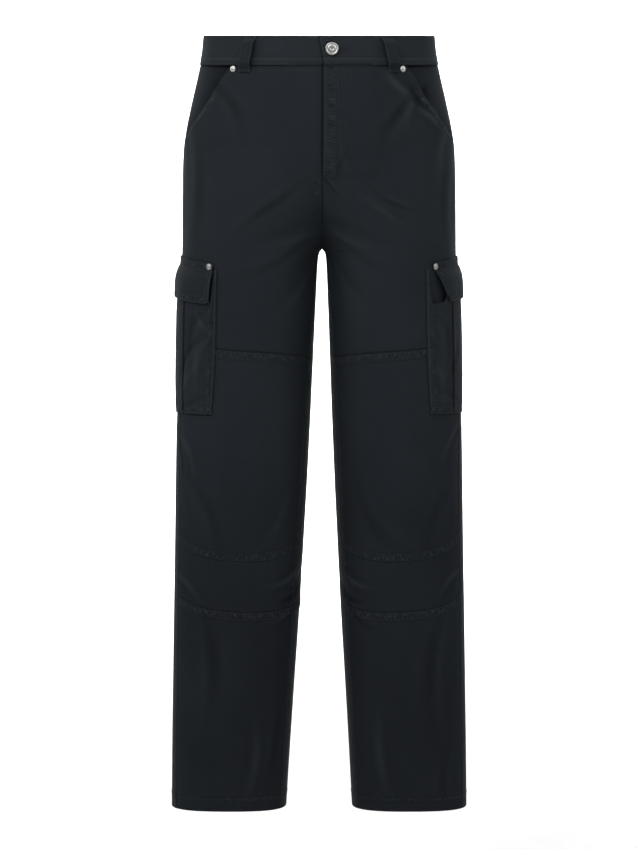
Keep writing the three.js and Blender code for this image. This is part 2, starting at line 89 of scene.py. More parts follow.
# ---- sizes of the body and the legs, the same as the solids have ----
body = {
    "hem": -1039, "fork": -285, "joinHeight": 135, "joinPower": 1.45, "forkWidth": 4.4,
    "waistTilt": 0.0857, "tiltFade": 240, "middleShift": 4, "cloth": 1.5, "bandHeight": 39.5,
    "bandThick": 3, "bandProud": 1.2, "underlap": 34, "hemTurn": 22,
    "mouthEnd": -143, "flyEnd": -196, "flyWidth": 34,
}
sections = np.array([
    # level, outer, gap, front, back, round, side, inseam
    [20, 150, 0, 102, 109, 2.2, 6, 180],
    [0, 153.6, 0, 104, 112, 2.2, 6, 180],
    [-20, 155.5, 0, 105, 114, 2.2, 6, 180],
    [-46, 160.2, 0, 107.5, 118, 2.2, 6, 180],
    [-90, 170.2, 0, 112, 127, 2.2, 6, 180],
    [-126, 177.7, 0, 115.5, 133, 2.2, 6, 180],
    [-153, 181.4, 0, 117.5, 137, 2.2, 6, 180],
    [-200, 183, 0, 117.5, 139, 2.2, 7, 180],
    [-245, 183.3, 0, 113.5, 135, 2.2, 8, 180],
    [-285, 183.6, 0, 108, 127, 2.25, 10, 180],
    [-290, 183.7, 3.7, 107, 126, 2.25, 10, 178],
    [-300, 183.9, 5.3, 106, 124, 2.25, 11, 175],
    [-354, 184.2, 8, 100.5, 114, 2.3, 15, 166],
    [-421, 185.3, 10.8, 95.5, 104, 2.3, 19, 159],
    [-480, 188.8, 13.2, 91, 97, 2.3, 22, 156.5],
    [-516, 192.3, 14.7, 88.5, 93, 2.3, 24, 155.5],
    [-600, 193.9, 18.6, 84, 86, 2.3, 26, 154.5],
    [-692, 195.4, 23.5, 79, 78, 2.35, 27, 154],
    [-761, 196.7, 27.3, 76, 75, 2.35, 27, 154],
    [-860, 198.3, 33.7, 70, 72, 2.4, 28, 154],
    [-960, 199.9, 40, 64, 69, 2.6, 30, 154],
    [-1039, 200.7, 44.5, 59, 66, 2.8, 31, 154],
])
mouths = {
    1: np.array([[-39, 47], [-54, 41.5], [-76, 37.5], [-99, 31], [-121, 20.5], [-143, 6.3]]),
    -1: np.array([[-39, 45], [-54, 40], [-76, 34.5], [-99, 27.5], [-121, 17.5], [-143, 6.3]]),
}


# A smooth curve through rows that never overshoots them: cubic pieces, whose slopes are
# the harmonic mean of the slopes on both sides
def curveThrough(places, values):
    order = np.argsort(places)
    xs, ys = np.asarray(places, float)[order], np.asarray(values, float)[order]
    rise = np.diff(ys) / np.diff(xs)
    slope = np.concatenate([[rise[0]], np.zeros(len(xs) - 2), [rise[-1]]])
    product = rise[:-1] * rise[1:]
    both = np.where(product > 0, rise[:-1] + rise[1:], 1)
    slope[1:-1] = np.where(product > 0, 2 * product / both, 0)

    def at(x):
        x = np.clip(x, xs[0], xs[-1])
        i = np.clip(np.searchsorted(xs, x, side="right") - 1, 0, len(xs) - 2)
        span = xs[i + 1] - xs[i]
        t = (x - xs[i]) / span
        return ((1 + 2 * t) * (1 - t) ** 2 * ys[i] + t * (1 - t) ** 2 * span * slope[i]
                + t * t * (3 - 2 * t) * ys[i + 1] + t * t * (t - 1) * span * slope[i + 1])

    return at


columnNames = ["outer", "gap", "front", "back", "round", "side", "inseam"]
curves = {name: curveThrough(sections[:, 0], sections[:, k + 1]) for k, name in enumerate(columnNames)}
mouthCurve = {side: curveThrough(rows[:, 0], rows[:, 1]) for side, rows in mouths.items()}


# 0 below 0, 1 above 1, and a smooth step between
def smooth(t):
    t = np.clip(t, 0, 1)
    return t * t * (3 - 2 * t)


def mix(a, b, t):
    return a + (b - a) * t


def bump(x, width):
    return np.exp(-((x / width) ** 2))


def signedPower(value, power):
    return np.sign(value) * np.abs(value) ** power


def middleOf(level):
    return body["middleShift"] * np.minimum(1, (level - body["hem"]) / (body["fork"] - body["hem"]))


def tiltAt(level):
    return body["waistTilt"] * (1 - smooth(-level / body["tiltFade"]))


def forkAt(level):
    below = np.minimum(level - body["fork"], 0)
    return body["forkWidth"] * (1 - np.exp(below / 4))


# Centre and half width of a half's ring, whose inner end slides past the middle above the fork
def ringAt(side, level):
    outer = curves["outer"](level) - side * middleOf(level)
    join = np.clip((level - body["fork"]) / body["joinHeight"], 0, 1) ** body["joinPower"]
    inner = np.where(level > body["fork"], -outer * join, curves["gap"](level) - forkAt(level))
    return (outer + inner) / 2, (outer - inner) / 2


def middleAngle(side, level):
    centre, half = ringAt(side, level)
    reach = np.clip(centre / half, 0, 1) ** (curves["round"](level) / 2)
    return np.where(level > body["fork"], 180 - np.degrees(np.arccos(reach)), 180)


# The angle of a place in front that lies so many millimetres from the middle
def frontAngle(side, level, fromMiddle):
    centre, half = ringAt(side, level)
    return -np.degrees(np.arccos(signedPower((fromMiddle - centre) / half, curves["round"](level) / 2)))


def inseamAngle(level):
    return np.where(level < body["fork"], curves["inseam"](level), 180)


def sideAngle(level):
    return curves["side"](level)


def mouthAngle(side, level):
    return np.where(level > body["mouthEnd"], mouthCurve[side](level), sideAngle(level))


def thighSeam(degrees):
    return -416 - 0.14 * (degrees - 60)


def kneeTop(degrees):
    return -700 + 18.5 * ((degrees - 97) / 60) ** 2


def kneeBottom(degrees):
    return -767.5 + 16 * ((degrees - 105) / 70) ** 2


# The smooth form: a superellipse ring at each level, tilted at the waist
def smoothSkin(side, angle, level):
    centre, half = ringAt(side, level)
    power = 2 / curves["round"](level)
    sine, cosine = np.sin(np.radians(angle)), np.cos(np.radians(angle))
    depth = np.where(sine < 0, curves["front"](level), curves["back"](level))
    across = signedPower(cosine, power)
    fork = forkAt(level) * ((1 - across) / 2) ** 4
    x = middleOf(level) + side * (centre + half * across + fork)
    y = depth * signedPower(sine, power)
    return np.stack([x, y, level + tiltAt(level) * y], -1)


# Outward normals and the cloth's length per degree, from neighbours on the smooth form
def skinFrame(side, angle, level):
    around = smoothSkin(side, angle + 0.8, level) - smoothSkin(side, angle - 0.8, level)
    along = smoothSkin(side, angle, level + 1.5) - smoothSkin(side, angle, level - 1.5)
    normal = np.cross(around, along) * side
    normal /= np.maximum(np.linalg.norm(normal, axis=-1, keepdims=True), 1e-9)
    return normal, np.linalg.norm(around, axis=-1) / 1.6


# ---- folds ----
# side, angle, level, lean from upright in degrees, half length, half width, height, bend
largeFolds = [
    [1, -40, -118, 38, 26, 9, 3.2, 0], [1, -52, -150, 30, 40, 13, -2.2, 0],
    [-1, -44, -168, 34, 42, 14, -1.8, 0], [1, -118, -262, -62, 44, 10, -2.6, 0],
    [-1, -122, -256, -58, 48, 11, -2.8, 0], [1, -132, -330, -38, 56, 13, -2.4, 0],
    [-1, -128, -338, -34, 62, 14, -2.2, 0], [1, -82, -560, 4, 120, 17, 2.2, 0],
    [-1, -74, -575, -3, 130, 18, 2.0, 0], [1, -56, -590, 5, 90, 13, -2.0, 0],
    [-1, -118, -600, 6, 110, 16, -2.2, 0], [1, -150, -742, -72, 30, 9, -3.2, 0],
    [-1, -152, -736, -66, 34, 9, -3.6, 0], [-1, -160, -765, -80, 28, 8, 2.6, 0],
    [1, -90, -890, 3, 110, 20, 1.8, 0], [-1, -96, -905, -3, 115, 20, 2.0, 0],
    [1, 98, -262, 62, 50, 12, -4.2, 0], [-1, 94, -266, 60, 52, 12, -4.0, 0],
    [1, 78, -300, 68, 54, 12, 3.0, 0], [-1, 74, -305, 66, 56, 12, 2.8, 0],
    [1, 120, -340, 48, 60, 13, -3.4, 0], [-1, 122, -344, 46, 60, 13, -3.2, 0],
    [1, 84, -668, 82, 46, 11, -4.4, 0], [-1, 92, -660, 78, 48, 11, -4.2, 0],
    [1, 112, -706, 96, 44, 11, -4.6, 0], [-1, 74, -700, 98, 46, 11, -4.4, 0],
    [1, 88, -744, 80, 40, 12, -3.4, 0], [-1, 104, -742, 84, 42, 12, -3.6, 0],
    [1, 96, -900, 2, 120, 18, 2.4, 0], [-1, 88, -915, -4, 115, 18, 2.2, 0],
]
smallFolds = [
    # on the fly's lower end, below it and beside it
    [1, -87.2, -163, 24, 12, 1.9, 1.1, 0], [1, -89.4, -170, 24, 13, 1.9, -1.5, 0],
    [1, -92.5, -177, 28, 10, 1.8, 1.0, 0], [1, -101.5, -198, 8, 11, 1.6, 0.8, 1], [1, -103.6, -202, 8, 12, 1.7, -1.3, 1],
    [1, -84, -214, -38, 17, 3.2, 0.9, 5], [1, -80, -222, -42, 20, 3.4, -1.2, 5],
    [1, -86, -236, -30, 26, 4.0, 0.7, 4], [-1, -90, -232, -24, 30, 5.0, -0.8, 3],
    # from the fork across each thigh
    [1, -128, -272, -66, 46, 4.5, 0.5, 6], [1, -118, -292, -58, 52, 5.0, -0.4, 8],
    [-1, -132, -268, -64, 44, 4.6, 0.5, 6], [-1, -120, -294, -56, 56, 5.2, -0.5, 8],
    [1, -140, -322, -40, 48, 5.4, 0.5, 6], [-1, -142, -330, -42, 50, 5.6, 0.5, 6],
    # the arch under the band, and the gaping left pocket
    [-1, -106, -46.5, 86, 24, 1.8, 0.8, 3], [-1, -84, -45, 98, 16, 1.7, 0.6, 2],
    [1, -54, -67, -34, 16, 4.5, 1.5, 2], [1, -43, -86, -22, 14, 5.0, -2.6, 2],
    [1, -37, -107, -36, 22, 3.6, 1.5, 2],
    # hips, from the pocket mouths
    [1, -46, -86, 30, 26, 3.8, 1.2, 4], [1, -56, -104, 34, 34, 4.6, -1.0, 5],
    [1, -30, -152, 22, 34, 5.0, 0.9, 5], [-1, -50, -92, 30, 30, 4.6, -0.8, 5],
    [-1, -26, -160, 16, 44, 5.6, 0.8, 5], [-1, -38, -208, 12, 54, 7.0, -0.7, 6],
    [1, -34, -214, 14, 50, 6.6, -0.8, 6], [1, -16, -232, 4, 40, 5.6, 0.9, 4],
    [-1, -14, -238, 4, 44, 6.0, 0.9, 4],
    # under the cargo pockets
    [1, -20, -522, 70, 26, 4.4, -1.1, 5], [1, -40, -538, 40, 30, 4.6, 0.9, 6],
    [-1, -24, -524, 66, 28, 4.6, -1.2, 5], [-1, -38, -544, 34, 34, 5.0, 1.0, 6],
    [-1, -30, -560, 20, 30, 4.4, -0.8, 4],
    # above and below the knees
    [1, -60, -636, 30, 44, 7.0, -0.4, 8], [1, -112, -648, -34, 46, 7.0, -0.5, 8],
    [-1, -66, -630, 28, 48, 7.4, -0.5, 8], [-1, -124, -646, -30, 44, 6.6, 0.4, 8],
    [1, -138, -728, -68, 26, 3.8, 1.3, 4], [1, -146, -752, -76, 24, 3.6, -1.5, 3],
    [-1, -140, -724, -64, 28, 4.0, 1.4, 4], [-1, -148, -750, -72, 26, 3.8, -1.7, 3],
    [-1, -136, -772, -58, 24, 3.8, 1.0, 4], [1, -132, -778, -54, 26, 4.0, -0.9, 4],
    [1, -44, -724, 58, 24, 4.2, 0.9, 4], [-1, -42, -730, 60, 26, 4.2, 0.9, 4],
    [1, -70, -842, 8, 58, 8.0, -0.8, 6], [-1, -74, -836, 6, 62, 8.4, -0.8, 6],
    [1, -112, -960, -6, 44, 7.4, 0.7, 5], [-1, -108, -972, -8, 40, 7.0, 0.7, 5],
    [1, -60, -990, 6, 34, 6.4, -0.6, 4], [-1, -132, -948, -10, 46, 7.0, -0.7, 5],
    # seat and back of the thighs
    [1, 118, -282, 58, 50, 5.0, -1.8, 8], [-1, 112, -286, 56, 52, 5.0, -1.8, 8],
    [1, 134, -262, 44, 34, 4.6, -1.6, 6], [-1, 138, -264, 42, 36, 4.8, -1.7, 6],
    [1, 64, -318, 72, 50, 5.4, -1.4, 8], [-1, 60, -324, 70, 48, 5.2, -1.4, 8],
    [1, 104, -318, 60, 56, 5.6, 1.6, 9], [-1, 102, -322, 58, 54, 5.6, 1.6, 9],
    [1, 88, -420, 20, 60, 8.0, -1.0, 8], [-1, 92, -430, 18, 64, 8.4, -1.0, 8],
    # backs of the knees
    [1, 70, -650, 74, 36, 4.2, 1.8, 6], [-1, 76, -642, 72, 38, 4.2, 1.8, 6],
    [1, 104, -684, 88, 42, 4.4, 2.0, 6], [-1, 84, -680, 92, 44, 4.4, 2.0, 6],
    [1, 70, -722, 104, 34, 4.2, -1.8, 5], [-1, 112, -718, 76, 36, 4.2, -1.9, 5],
    [1, 120, -664, 60, 32, 4.0, -1.7, 5], [-1, 58, -668, 112, 30, 4.0, -1.6, 5],
    [1, 98, -760, 74, 34, 4.6, 1.3, 5], [-1, 82, -766, 82, 36, 4.6, 1.3, 5],
    [1, 80, -980, 4, 40, 7.0, -0.9, 5], [-1, 102, -990, -4, 38, 7.0, -0.9, 5],
]


# Height of a list of folds: a bump across a line that may bend, fading at both ends.
# A small fold has a weak opposite one beside it, as creased cloth has.
def foldHeight(folds, side, angle, level, paired=False):
    height = np.zeros(np.broadcast(angle, level).shape)
    for of, at, drop, lean, length, width, rise, bend in folds:
        if of != side:
            continue
        round_ = ((angle - at + 180) % 360 - 180) * 1.6
        up = level - drop
        turn = math.radians(lean)
        along = round_ * math.sin(turn) + up * math.cos(turn)
        across = round_ * math.cos(turn) - up * math.sin(turn)
        across = across - bend * (along / length) ** 2
        ends = bump(along, length)
        shape = bump(across, width)
        if paired:
            shape = shape - 0.45 * bump(across - 1.7 * width, width) - 0.2 * bump(across + 1.9 * width, width)
        height += rise * shape * ends
    return height


# Uneven small waves along a seam: three sines whose lengths never meet
def unevenWave(along, length, seed):
    return (0.5 * np.sin(2 * np.pi * along / length + seed)
            + 0.3 * np.sin(2 * np.pi * along / (length * 1.47) + 2.1 * seed)
            + 0.2 * np.sin(2 * np.pi * along / (length * 0.63) + 3.7 * seed))


# ---- seams ----
# Every seam is a lap: distances are plus on the lap's side and 0 at its edge. The lap is
# sewn by two rows, and the cloth between them puckers.
lap = {
    "rise": 0.22, "rows": (2.4, 9.4), "pucker": 0.16, "wave": 8.3, "centre": 5.8, "reach": 5.0, "far": 60.0,
}


# Of two distances the one that lies nearer to the middle of its lap
def nearer(a, b):
    return np.where(np.abs(a - lap["centre"]) < np.abs(b - lap["centre"]), a, b)


# Distances from the seams that run across the leg, and from those that run along it
def seamDistances(side, angle, level, onFacing=False):
    degrees = -angle
    far = np.full(np.broadcast(angle, level).shape, lap["far"])
    onFront = (degrees > sideAngle(level) - 1) & (degrees < inseamAngle(level) + 1) & (degrees > 0)
    rise = nearer(far, (body["hem"] + 19.4 - level) * 2)
    for away in (thighSeam(degrees) - level, level - kneeTop(degrees), kneeBottom(degrees) - level):
        rise = np.where(onFront, nearer(rise, away), rise)
    aboveFork = level > body["fork"]
    aboveMouth = level > body["mouthEnd"]
    sideAway = (sideAngle(level) - degrees) * 1.75
    turn = sideAway
    if not onFacing:
        turn = np.where(onFront & aboveMouth, (degrees - mouthAngle(side, level)) * 1.9, turn)
    middleAway = (middleAngle(side, level) - np.abs(angle)) * 1.75
    backMiddle = -side * middleAway
    fly = np.where(level > body["flyEnd"], side * middleAway, -side * middleAway)
    inseamAway = np.where(degrees > 0, inseamAngle(level) - degrees, inseamAngle(level) - 360 - degrees) * 1.6
    middle = np.where(degrees > 0, fly, backMiddle)
    turn = np.where(aboveFork, nearer(turn, middle), nearer(turn, inseamAway))
    # a panel on the under side of a seam has nothing of it
    onLap = lambda away: np.where((away < -0.1) | (away > 15), lap["far"], away)
    return onLap(rise), onLap(turn)


# The lap's own relief in the mesh: a low step and long puckers; the fine ones are in the cloth's shader
def lapRelief(away, along, seed):
    onLap = smooth((away + 0.8) / 2.2) * (1 - smooth((away - 10.5) / 3))
    waves = unevenWave(along + 0.35 * away, lap["wave"], seed) * bump(away - lap["centre"], lap["reach"])
    return lap["rise"] * onLap + lap["pucker"] * waves


# The fly's free edge ripples, and the cloth just below the band is pulled in by its seam
def flyRelief(side, angle, level):
    away = (middleAngle(side, level) - np.abs(angle)) * 1.6
    here = np.where((angle < 0) & (side > 0), 1.0, 0.0) * smooth((level - body["flyEnd"] + 4) / 8)
    ripple = 0.36 * unevenWave(level + 0.8 * away, 11.5, 1.7) * bump(away - 4, 5.5)
    return ripple * here


def bandRelief(side, angle, level):
    away = -body["bandHeight"] - level
    return 0.2 * unevenWave(angle * 1.6, 13, 0.7 + side) * bump(away - 4, 5) - 0.4 * bump(away, 1.2)


# The relief of all seams at places on the skin, and the distances from them
def seamsAt(side, angle, level, onFacing=False):
    rise, turn = seamDistances(side, angle, level, onFacing)
    relief = lapRelief(rise, angle * 1.6, 1.3 + side) + lapRelief(turn, level, 2.7 + side)
    relief = relief + flyRelief(side, angle, level) + bandRelief(side, angle, level)
    return relief, rise, turn


# The front's left half laps over the right one down to the fly's end
def flyLift(side, angle, level):
    if side < 0:
        return np.zeros(np.broadcast(angle, level).shape)
    fromMiddle = (middleAngle(side, level) + angle) * 1.6
    return 1.8 * smooth((level - body["flyEnd"]) / 12) * (1 - smooth((fromMiddle - body["flyWidth"]) / 8))


# A place on the finished cloth, in millimetres: the skin, its folds, its seams and a lift
def clothPoint(side, angle, level, lift=0.0, relief=True):
    normal, _ = skinFrame(side, angle, level)
    out = lift + foldHeight(largeFolds, side, angle, level)
    if relief:
        out = out + foldHeight(smallFolds, side, angle, level, True) + seamsAt(side, angle, level)[0]
    return smoothSkin(side, angle, level) + normal * np.asarray(out)[..., None], normal


# ---- meshes ----
def addMesh(name, points, faces, material, node=None, uv=None, attributes=None, slot="cloth"):
    mesh = bpy.data.meshes.new(name)
    mesh.from_pydata((points * 0.001).tolist(), [], faces.tolist())
    mesh.update()
    mesh.polygons.foreach_set("use_smooth", np.ones(len(mesh.polygons), bool))
    if uv is not None:
        layer = mesh.uv_layers.new(name="cloth")
        corner = np.zeros(len(mesh.loops), np.int32)
        mesh.loops.foreach_get("vertex_index", corner)
        layer.data.foreach_set("uv", (uv[corner] * 0.001).ravel())
    for key, values in (attributes or {}).items():
        mesh.attributes.new(key, "FLOAT", "POINT").data.foreach_set("value", values.astype(np.float32))
    mesh.materials.append(material)
    obj = bpy.data.objects.new(name, mesh)
    bpy.context.scene.collection.objects.link(obj)
    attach(obj, "root")
    if node:
        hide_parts(*([node] if isinstance(node, str) else node))
    return obj


def gridFaces(rows, columns, start=0, flip=False):
    i, j = np.meshgrid(np.arange(rows - 1), np.arange(columns - 1), indexing="ij")
    a = (start + i * columns + j).ravel()
    quads = np.stack([a, a + 1, a + columns + 1, a + columns], -1)
    return quads[:, ::-1] if flip else quads


# A closed cloth wall from its outer and inner grids, joined by strips round the border.
# rise and turn are the distances from its seams; two more attributes make it paler, with edge wear and painted
# highlight, and darker, with painted shade.
def wallMesh(name, outer, inner, material, **more):
    rows, columns = outer.shape[:2]
    size = rows * columns
    none = np.zeros((rows, columns))
    given = {"rise": none + lap["far"], "turn": none + lap["far"], "rubbed": none, "dull": none}
    given.update(more.pop("attributes", {}))
    points = np.concatenate([outer.reshape(-1, 3), inner.reshape(-1, 3)])
    i, j = np.arange(rows - 1), np.arange(columns - 1)
    strips = [
        np.stack([j, j + size, j + 1 + size, j + 1], -1),
        np.stack([j + 1, j + 1 + size, j + size, j], -1) + (rows - 1) * columns,
        np.stack([i * columns, (i + 1) * columns, (i + 1) * columns + size, i * columns + size], -1),
        np.stack([i * columns + size, (i + 1) * columns + size, (i + 1) * columns, i * columns], -1)
        + columns - 1,
    ]
    faces = np.concatenate([gridFaces(rows, columns), gridFaces(rows, columns, size, True), *strips])
    mid = (rows // 2) * columns + columns // 2
    a, b, d = points[mid], points[mid + 1], points[mid + columns]
    if np.dot(np.cross(b - a, d - a), points[mid] - points[mid + size]) < 0:
        faces = faces[:, ::-1]
    uv = more.pop("uv", None)
    if uv is not None:
        uv = np.concatenate([uv.reshape(-1, 2), uv.reshape(-1, 2)])
    attributes = {k: np.concatenate([(v + none).ravel()] * 2) for k, v in given.items()}
    return addMesh(name, points, faces, material, uv=uv, attributes=attributes, **more)


# Shares from 0 to 1, packed closer near both ends
def sharesTo(count, crowd=0.25):
    t = np.linspace(0, 1, count)
    return mix(t, (1 - np.cos(np.pi * t)) / 2, crowd)


def gridArea(grid):
    a, b, c, d = grid[:-1, :-1], grid[:-1, 1:], grid[1:, 1:], grid[1:, :-1]
    return 0.5 * np.linalg.norm(np.cross(c - a, d - b), axis=-1).sum() * 1e-6


# Prints a piece's cut. Its cut is the smooth form, before folds draw it in: the longest
# row and column of the grid, in metres, and the grid's area.
def declareSheet(obj, grid):
    wide = np.linalg.norm(np.diff(grid, axis=1), axis=-1).sum(1).max() * 0.001
    long = np.linalg.norm(np.diff(grid, axis=0), axis=-1).sum(0).max() * 0.001
    area = min(gridArea(grid), wide * long)
    print(f"cut {obj.name}: {wide:.3f} x {long:.3f} m, {area:.4f} m2")


# ---- shader maths ----
class Wire:
    # one output of a node tree, so that sums read as sums
    def __init__(self, tree, socket):
        self.tree = tree
        self.socket = socket

    def maths(self, operation, *values):
        return addNode(self.tree, "ShaderNodeMath", {"operation": operation}, dict(enumerate(values)))

    def __add__(self, other):
        return self.maths("ADD", self, other)

    def __sub__(self, other):
        return self.maths("SUBTRACT", self, other)

    def __mul__(self, other):
        return self.maths("MULTIPLY", self, other)

    def __truediv__(self, other):
        return self.maths("DIVIDE", self, other)

    def __rsub__(self, other):
        return self.maths("SUBTRACT", other, self)

    # a bell round a value
    def bell(self, centre, width):
        t = (self - centre) / width
        return self.maths("POWER", math.e, t * t * -1)

    def smoothBetween(self, start, end):
        settings = {"interpolation_type": "SMOOTHSTEP"}
        return addNode(self.tree, "ShaderNodeMapRange", settings, {0: self, 1: start, 2: end})

    __radd__ = __add__
    __rmul__ = __mul__


# Any node: its type, its settings, its sockets' values or links, and which output is wanted
def addNode(tree, kind, settings=None, sockets=None, out=0):
    node = tree.nodes.new(kind)
    for key, value in (settings or {}).items():
        if key == "stops":
            ramp = node.color_ramp
            for place, colour in value[1:-1]:
                ramp.elements.new(place).color = colour
            ramp.elements[0].position, ramp.elements[0].color = value[0]
            ramp.elements[-1].position, ramp.elements[-1].color = value[-1]
        else:
            setattr(node, key, value)
    for key, value in (sockets or {}).items():
        if isinstance(value, Wire):
            tree.links.new(value.socket, node.inputs[key])
        else:
            node.inputs[key].default_value = value
    return Wire(tree, node.outputs[out]) if len(node.outputs) else node


def addNoise(tree, vector, scale, detail=2, roughness=0.5):
    sockets = {"Vector": vector, "Scale": scale, "Detail": detail, "Roughness": roughness}
    return addNode(tree, "ShaderNodeTexNoise", {}, sockets)


def newMaterial(name):
    material = bpy.data.materials.new(name)
    material.use_nodes = True
    material.node_tree.nodes.clear()
    return material, material.node_tree


def mixColour(tree, share, a, b):
    return addNode(tree, "ShaderNodeMix", {"data_type": "RGBA"}, {0: share, 6: a, 7: b}, 2)


def finishMaterial(tree, sockets):
    shader = addNode(tree, "ShaderNodeBsdfPrincipled", {}, sockets)
    addNode(tree, "ShaderNodeOutputMaterial", {}, {"Surface": shader})


# Linear colours. The palest paints edge wear together with painted highlight; the darkest is painted shade.
cloth = {
    "dark": (0.0072, 0.0089, 0.0115, 1), "pale": (0.0155, 0.0188, 0.0225, 1),
    "paleWearAndHighlight": (0.045, 0.053, 0.058, 1), "deep": (0.0016, 0.002, 0.0026, 1),
    "twillSpacing": 0.00062, "twillDepth": 0.35, "fibreDepth": 0.25,
    "pucker": 3.9,  # millimetres from one small pucker to the next
    "roughness": 0.9, "sheen": 0.03, "sheenTint": (0.7, 0.85, 0.92, 1), "shine": 0.07,
}


# Height in millimetres of a lap beside a seam, and how pale and how dark it makes the cloth.
# Its puckers are waves along the seam, strong in some stretches and missing in others;
# amount makes them and the line beyond the lap weaker.
def seamShading(tree, away, along, seed, amount):
    line = {"noise_dimensions": "1D"}
    drift = addNode(tree, "ShaderNodeTexNoise", line, {"W": along / 23 + seed, "Detail": 1})
    stretch = addNode(tree, "ShaderNodeTexNoise", line, {"W": along / 31 + seed * 3, "Detail": 2})
    strength = stretch.smoothBetween(0.34, 0.62)
    phase = (along + away * 0.3) / cloth["pucker"] + drift * 3.1
    wave = phase.maths("SINE", phase * (2 * math.pi))
    between = away.bell(6.0, 2.9) * strength * amount
    pucker = wave * between
    onLap = away.smoothBetween(-0.3, 0.8) * (1 - away.smoothBetween(10.6, 12.4))
    groove = away.bell(0, 0.9)
    rows = away.bell(lap["rows"][0], 0.7) + away.bell(lap["rows"][1], 0.7)
    height = onLap * 0.3 + pucker * 0.3 - groove * 0.5 - rows * 0.2
    # painted highlight and edge wear: paler at the lap's edge, on the pucker crests and along the line beyond the
    # lap
    pale = away.bell(1.8, 0.9) * 0.16 + pucker * 0.5 + away.bell(10.9, 0.8) * (0.1 * amount ** 2)
    # painted shade: darker in the groove, across the puckered band, in the pucker hollows, along the line beyond
    # the lap and in the stitch rows
    dark = groove * 0.95 + between * 0.12 - pucker * 0.8
    dark = dark + away.bell(12.2, 0.8) * (0.35 * amount ** 2) + rows * 0.14
    return height, pale, dark


def makeTwill(name, dark, pale):
    material, tree = newMaterial(name)
    place = addNode(tree, "ShaderNodeTexCoord", out=3)
    uv = addNode(tree, "ShaderNodeUVMap", {"uv_map": "cloth"})
    across = addNode(tree, "ShaderNodeSeparateXYZ", {}, {0: uv})
    down = Wire(tree, across.socket.node.outputs[1])
    read = lambda key: addNode(tree, "ShaderNodeAttribute", {"attribute_name": key}, out=2)
    # twill: a diagonal rib of sines, broken a little by noise
    drift = addNoise(tree, uv, 420)
    rib = (across * 0.82 + down * 0.57) / cloth["twillSpacing"] + drift * 0.8
    ribs = rib.maths("SINE", rib * (2 * math.pi)) * 0.5 + 0.5
    fibre = addNoise(tree, uv, 2600, 3, 0.7)
    patches = addNoise(tree, place, 6, 4)
    specks = addNoise(tree, uv, 900)
    highA, paleA, paintedShadeA = seamShading(tree, read("rise"), across * 1000, 0.3, 1.0)
    highB, paleB, paintedShadeB = seamShading(tree, read("turn"), down * 1000, 5.1, 0.6)
    height = Wire(tree, addNode(tree, "ShaderNodeSeparateXYZ", {}, {0: place}).socket.node.outputs[2])
    # painted shade: the cloth is painted darker towards the hems, where less light falls
    paintedFalloff = height.smoothBetween(-0.95, -0.3)
    # random tone, weave and specks, plus that painted falloff
    toneAndPaintedFalloff = (patches - 0.5) * 0.9 + (ribs - 0.5) * 0.25 + (specks - 0.5) * 0.3 + paintedFalloff * 0.54 + 0.05
    toneAndPaintedFalloff = addNode(tree, "ShaderNodeClamp", {}, {0: toneAndPaintedFalloff})
    # paler with edge wear and painted highlight, darker with painted shade
    rubbed = (read("rubbed") + paleA + paleB) * (specks * 0.8 + 0.5)
    rubbed = addNode(tree, "ShaderNodeClamp", {}, {0: rubbed})
    dull = addNode(tree, "ShaderNodeClamp", {}, {0: (read("dull") + paintedShadeA + paintedShadeB) * 0.85})
    colour = mixColour(tree, toneAndPaintedFalloff, dark, pale)
    colour = mixColour(tree, rubbed, colour, cloth["paleWearAndHighlight"])
    colour = mixColour(tree, dull, colour, cloth["deep"])
    weave = ribs * cloth["twillDepth"] + fibre * cloth["fibreDepth"]
    fine = addNode(tree, "ShaderNodeBump", {}, {"Height": weave, "Strength": 0.5, "Distance": 0.00022})
    normal = addNode(tree, "ShaderNodeBump", {}, {"Height": highA + highB, "Distance": 0.001, "Normal": fine})
    finishMaterial(tree, {
        "Base Color": colour, "Roughness": (patches * 0.12) + (cloth["roughness"] - 0.06),
        "Sheen Weight": cloth["sheen"], "Sheen Roughness": 0.45, "Sheen Tint": cloth["sheenTint"],
        "Specular IOR Level": cloth["shine"], "Normal": normal,
    })
    return material


def makeThread():
    material, tree = newMaterial("thread")
    place = addNode(tree, "ShaderNodeTexCoord", out=3)
    strands = addNoise(tree, place, 1600)
    colour = mixColour(tree, strands, (0.0095, 0.0115, 0.014, 1), (0.019, 0.022, 0.025, 1))
    normal = addNode(tree, "ShaderNodeBump", {}, {"Height": strands, "Strength": 0.4, "Distance": 0.0001})
    finishMaterial(tree, {"Base Color": colour, "Roughness": 0.8, "Specular IOR Level": 0.15,
                          "Normal": normal})
    return material


metal = {"colour": (0.50, 0.50, 0.48, 1), "dull": (0.22, 0.22, 0.215, 1), "roughness": 0.32}


def makeNickel():
    material, tree = newMaterial("nickel")
    place = addNode(tree, "ShaderNodeTexCoord", out=3)
    cloud = addNoise(tree, place, 260, 4, 0.65)
    scratch = addNoise(tree, place, 1500)
    colour = mixColour(tree, cloud, metal["dull"], metal["colour"])
    normal = addNode(tree, "ShaderNodeBump", {}, {"Height": scratch, "Strength": 0.12, "Distance": 0.00005})
    finishMaterial(tree, {
        "Base Color": colour, "Metallic": 1.0, "Normal": normal,
        "Roughness": cloud * 0.25 + metal["roughness"] - 0.08,
    })
    return material


twill = makeTwill("twill", cloth["dark"], cloth["pale"])
threadMaterial = makeThread()
nickel = makeNickel()
print("materials made")


# ---- the panels ----
inset = 0.02  # degrees that a panel keeps from its seam
wallAt = lambda level: body["cloth"] + 1.3 * smooth((body["hem"] + body["hemTurn"] - level) / 3 + 1)


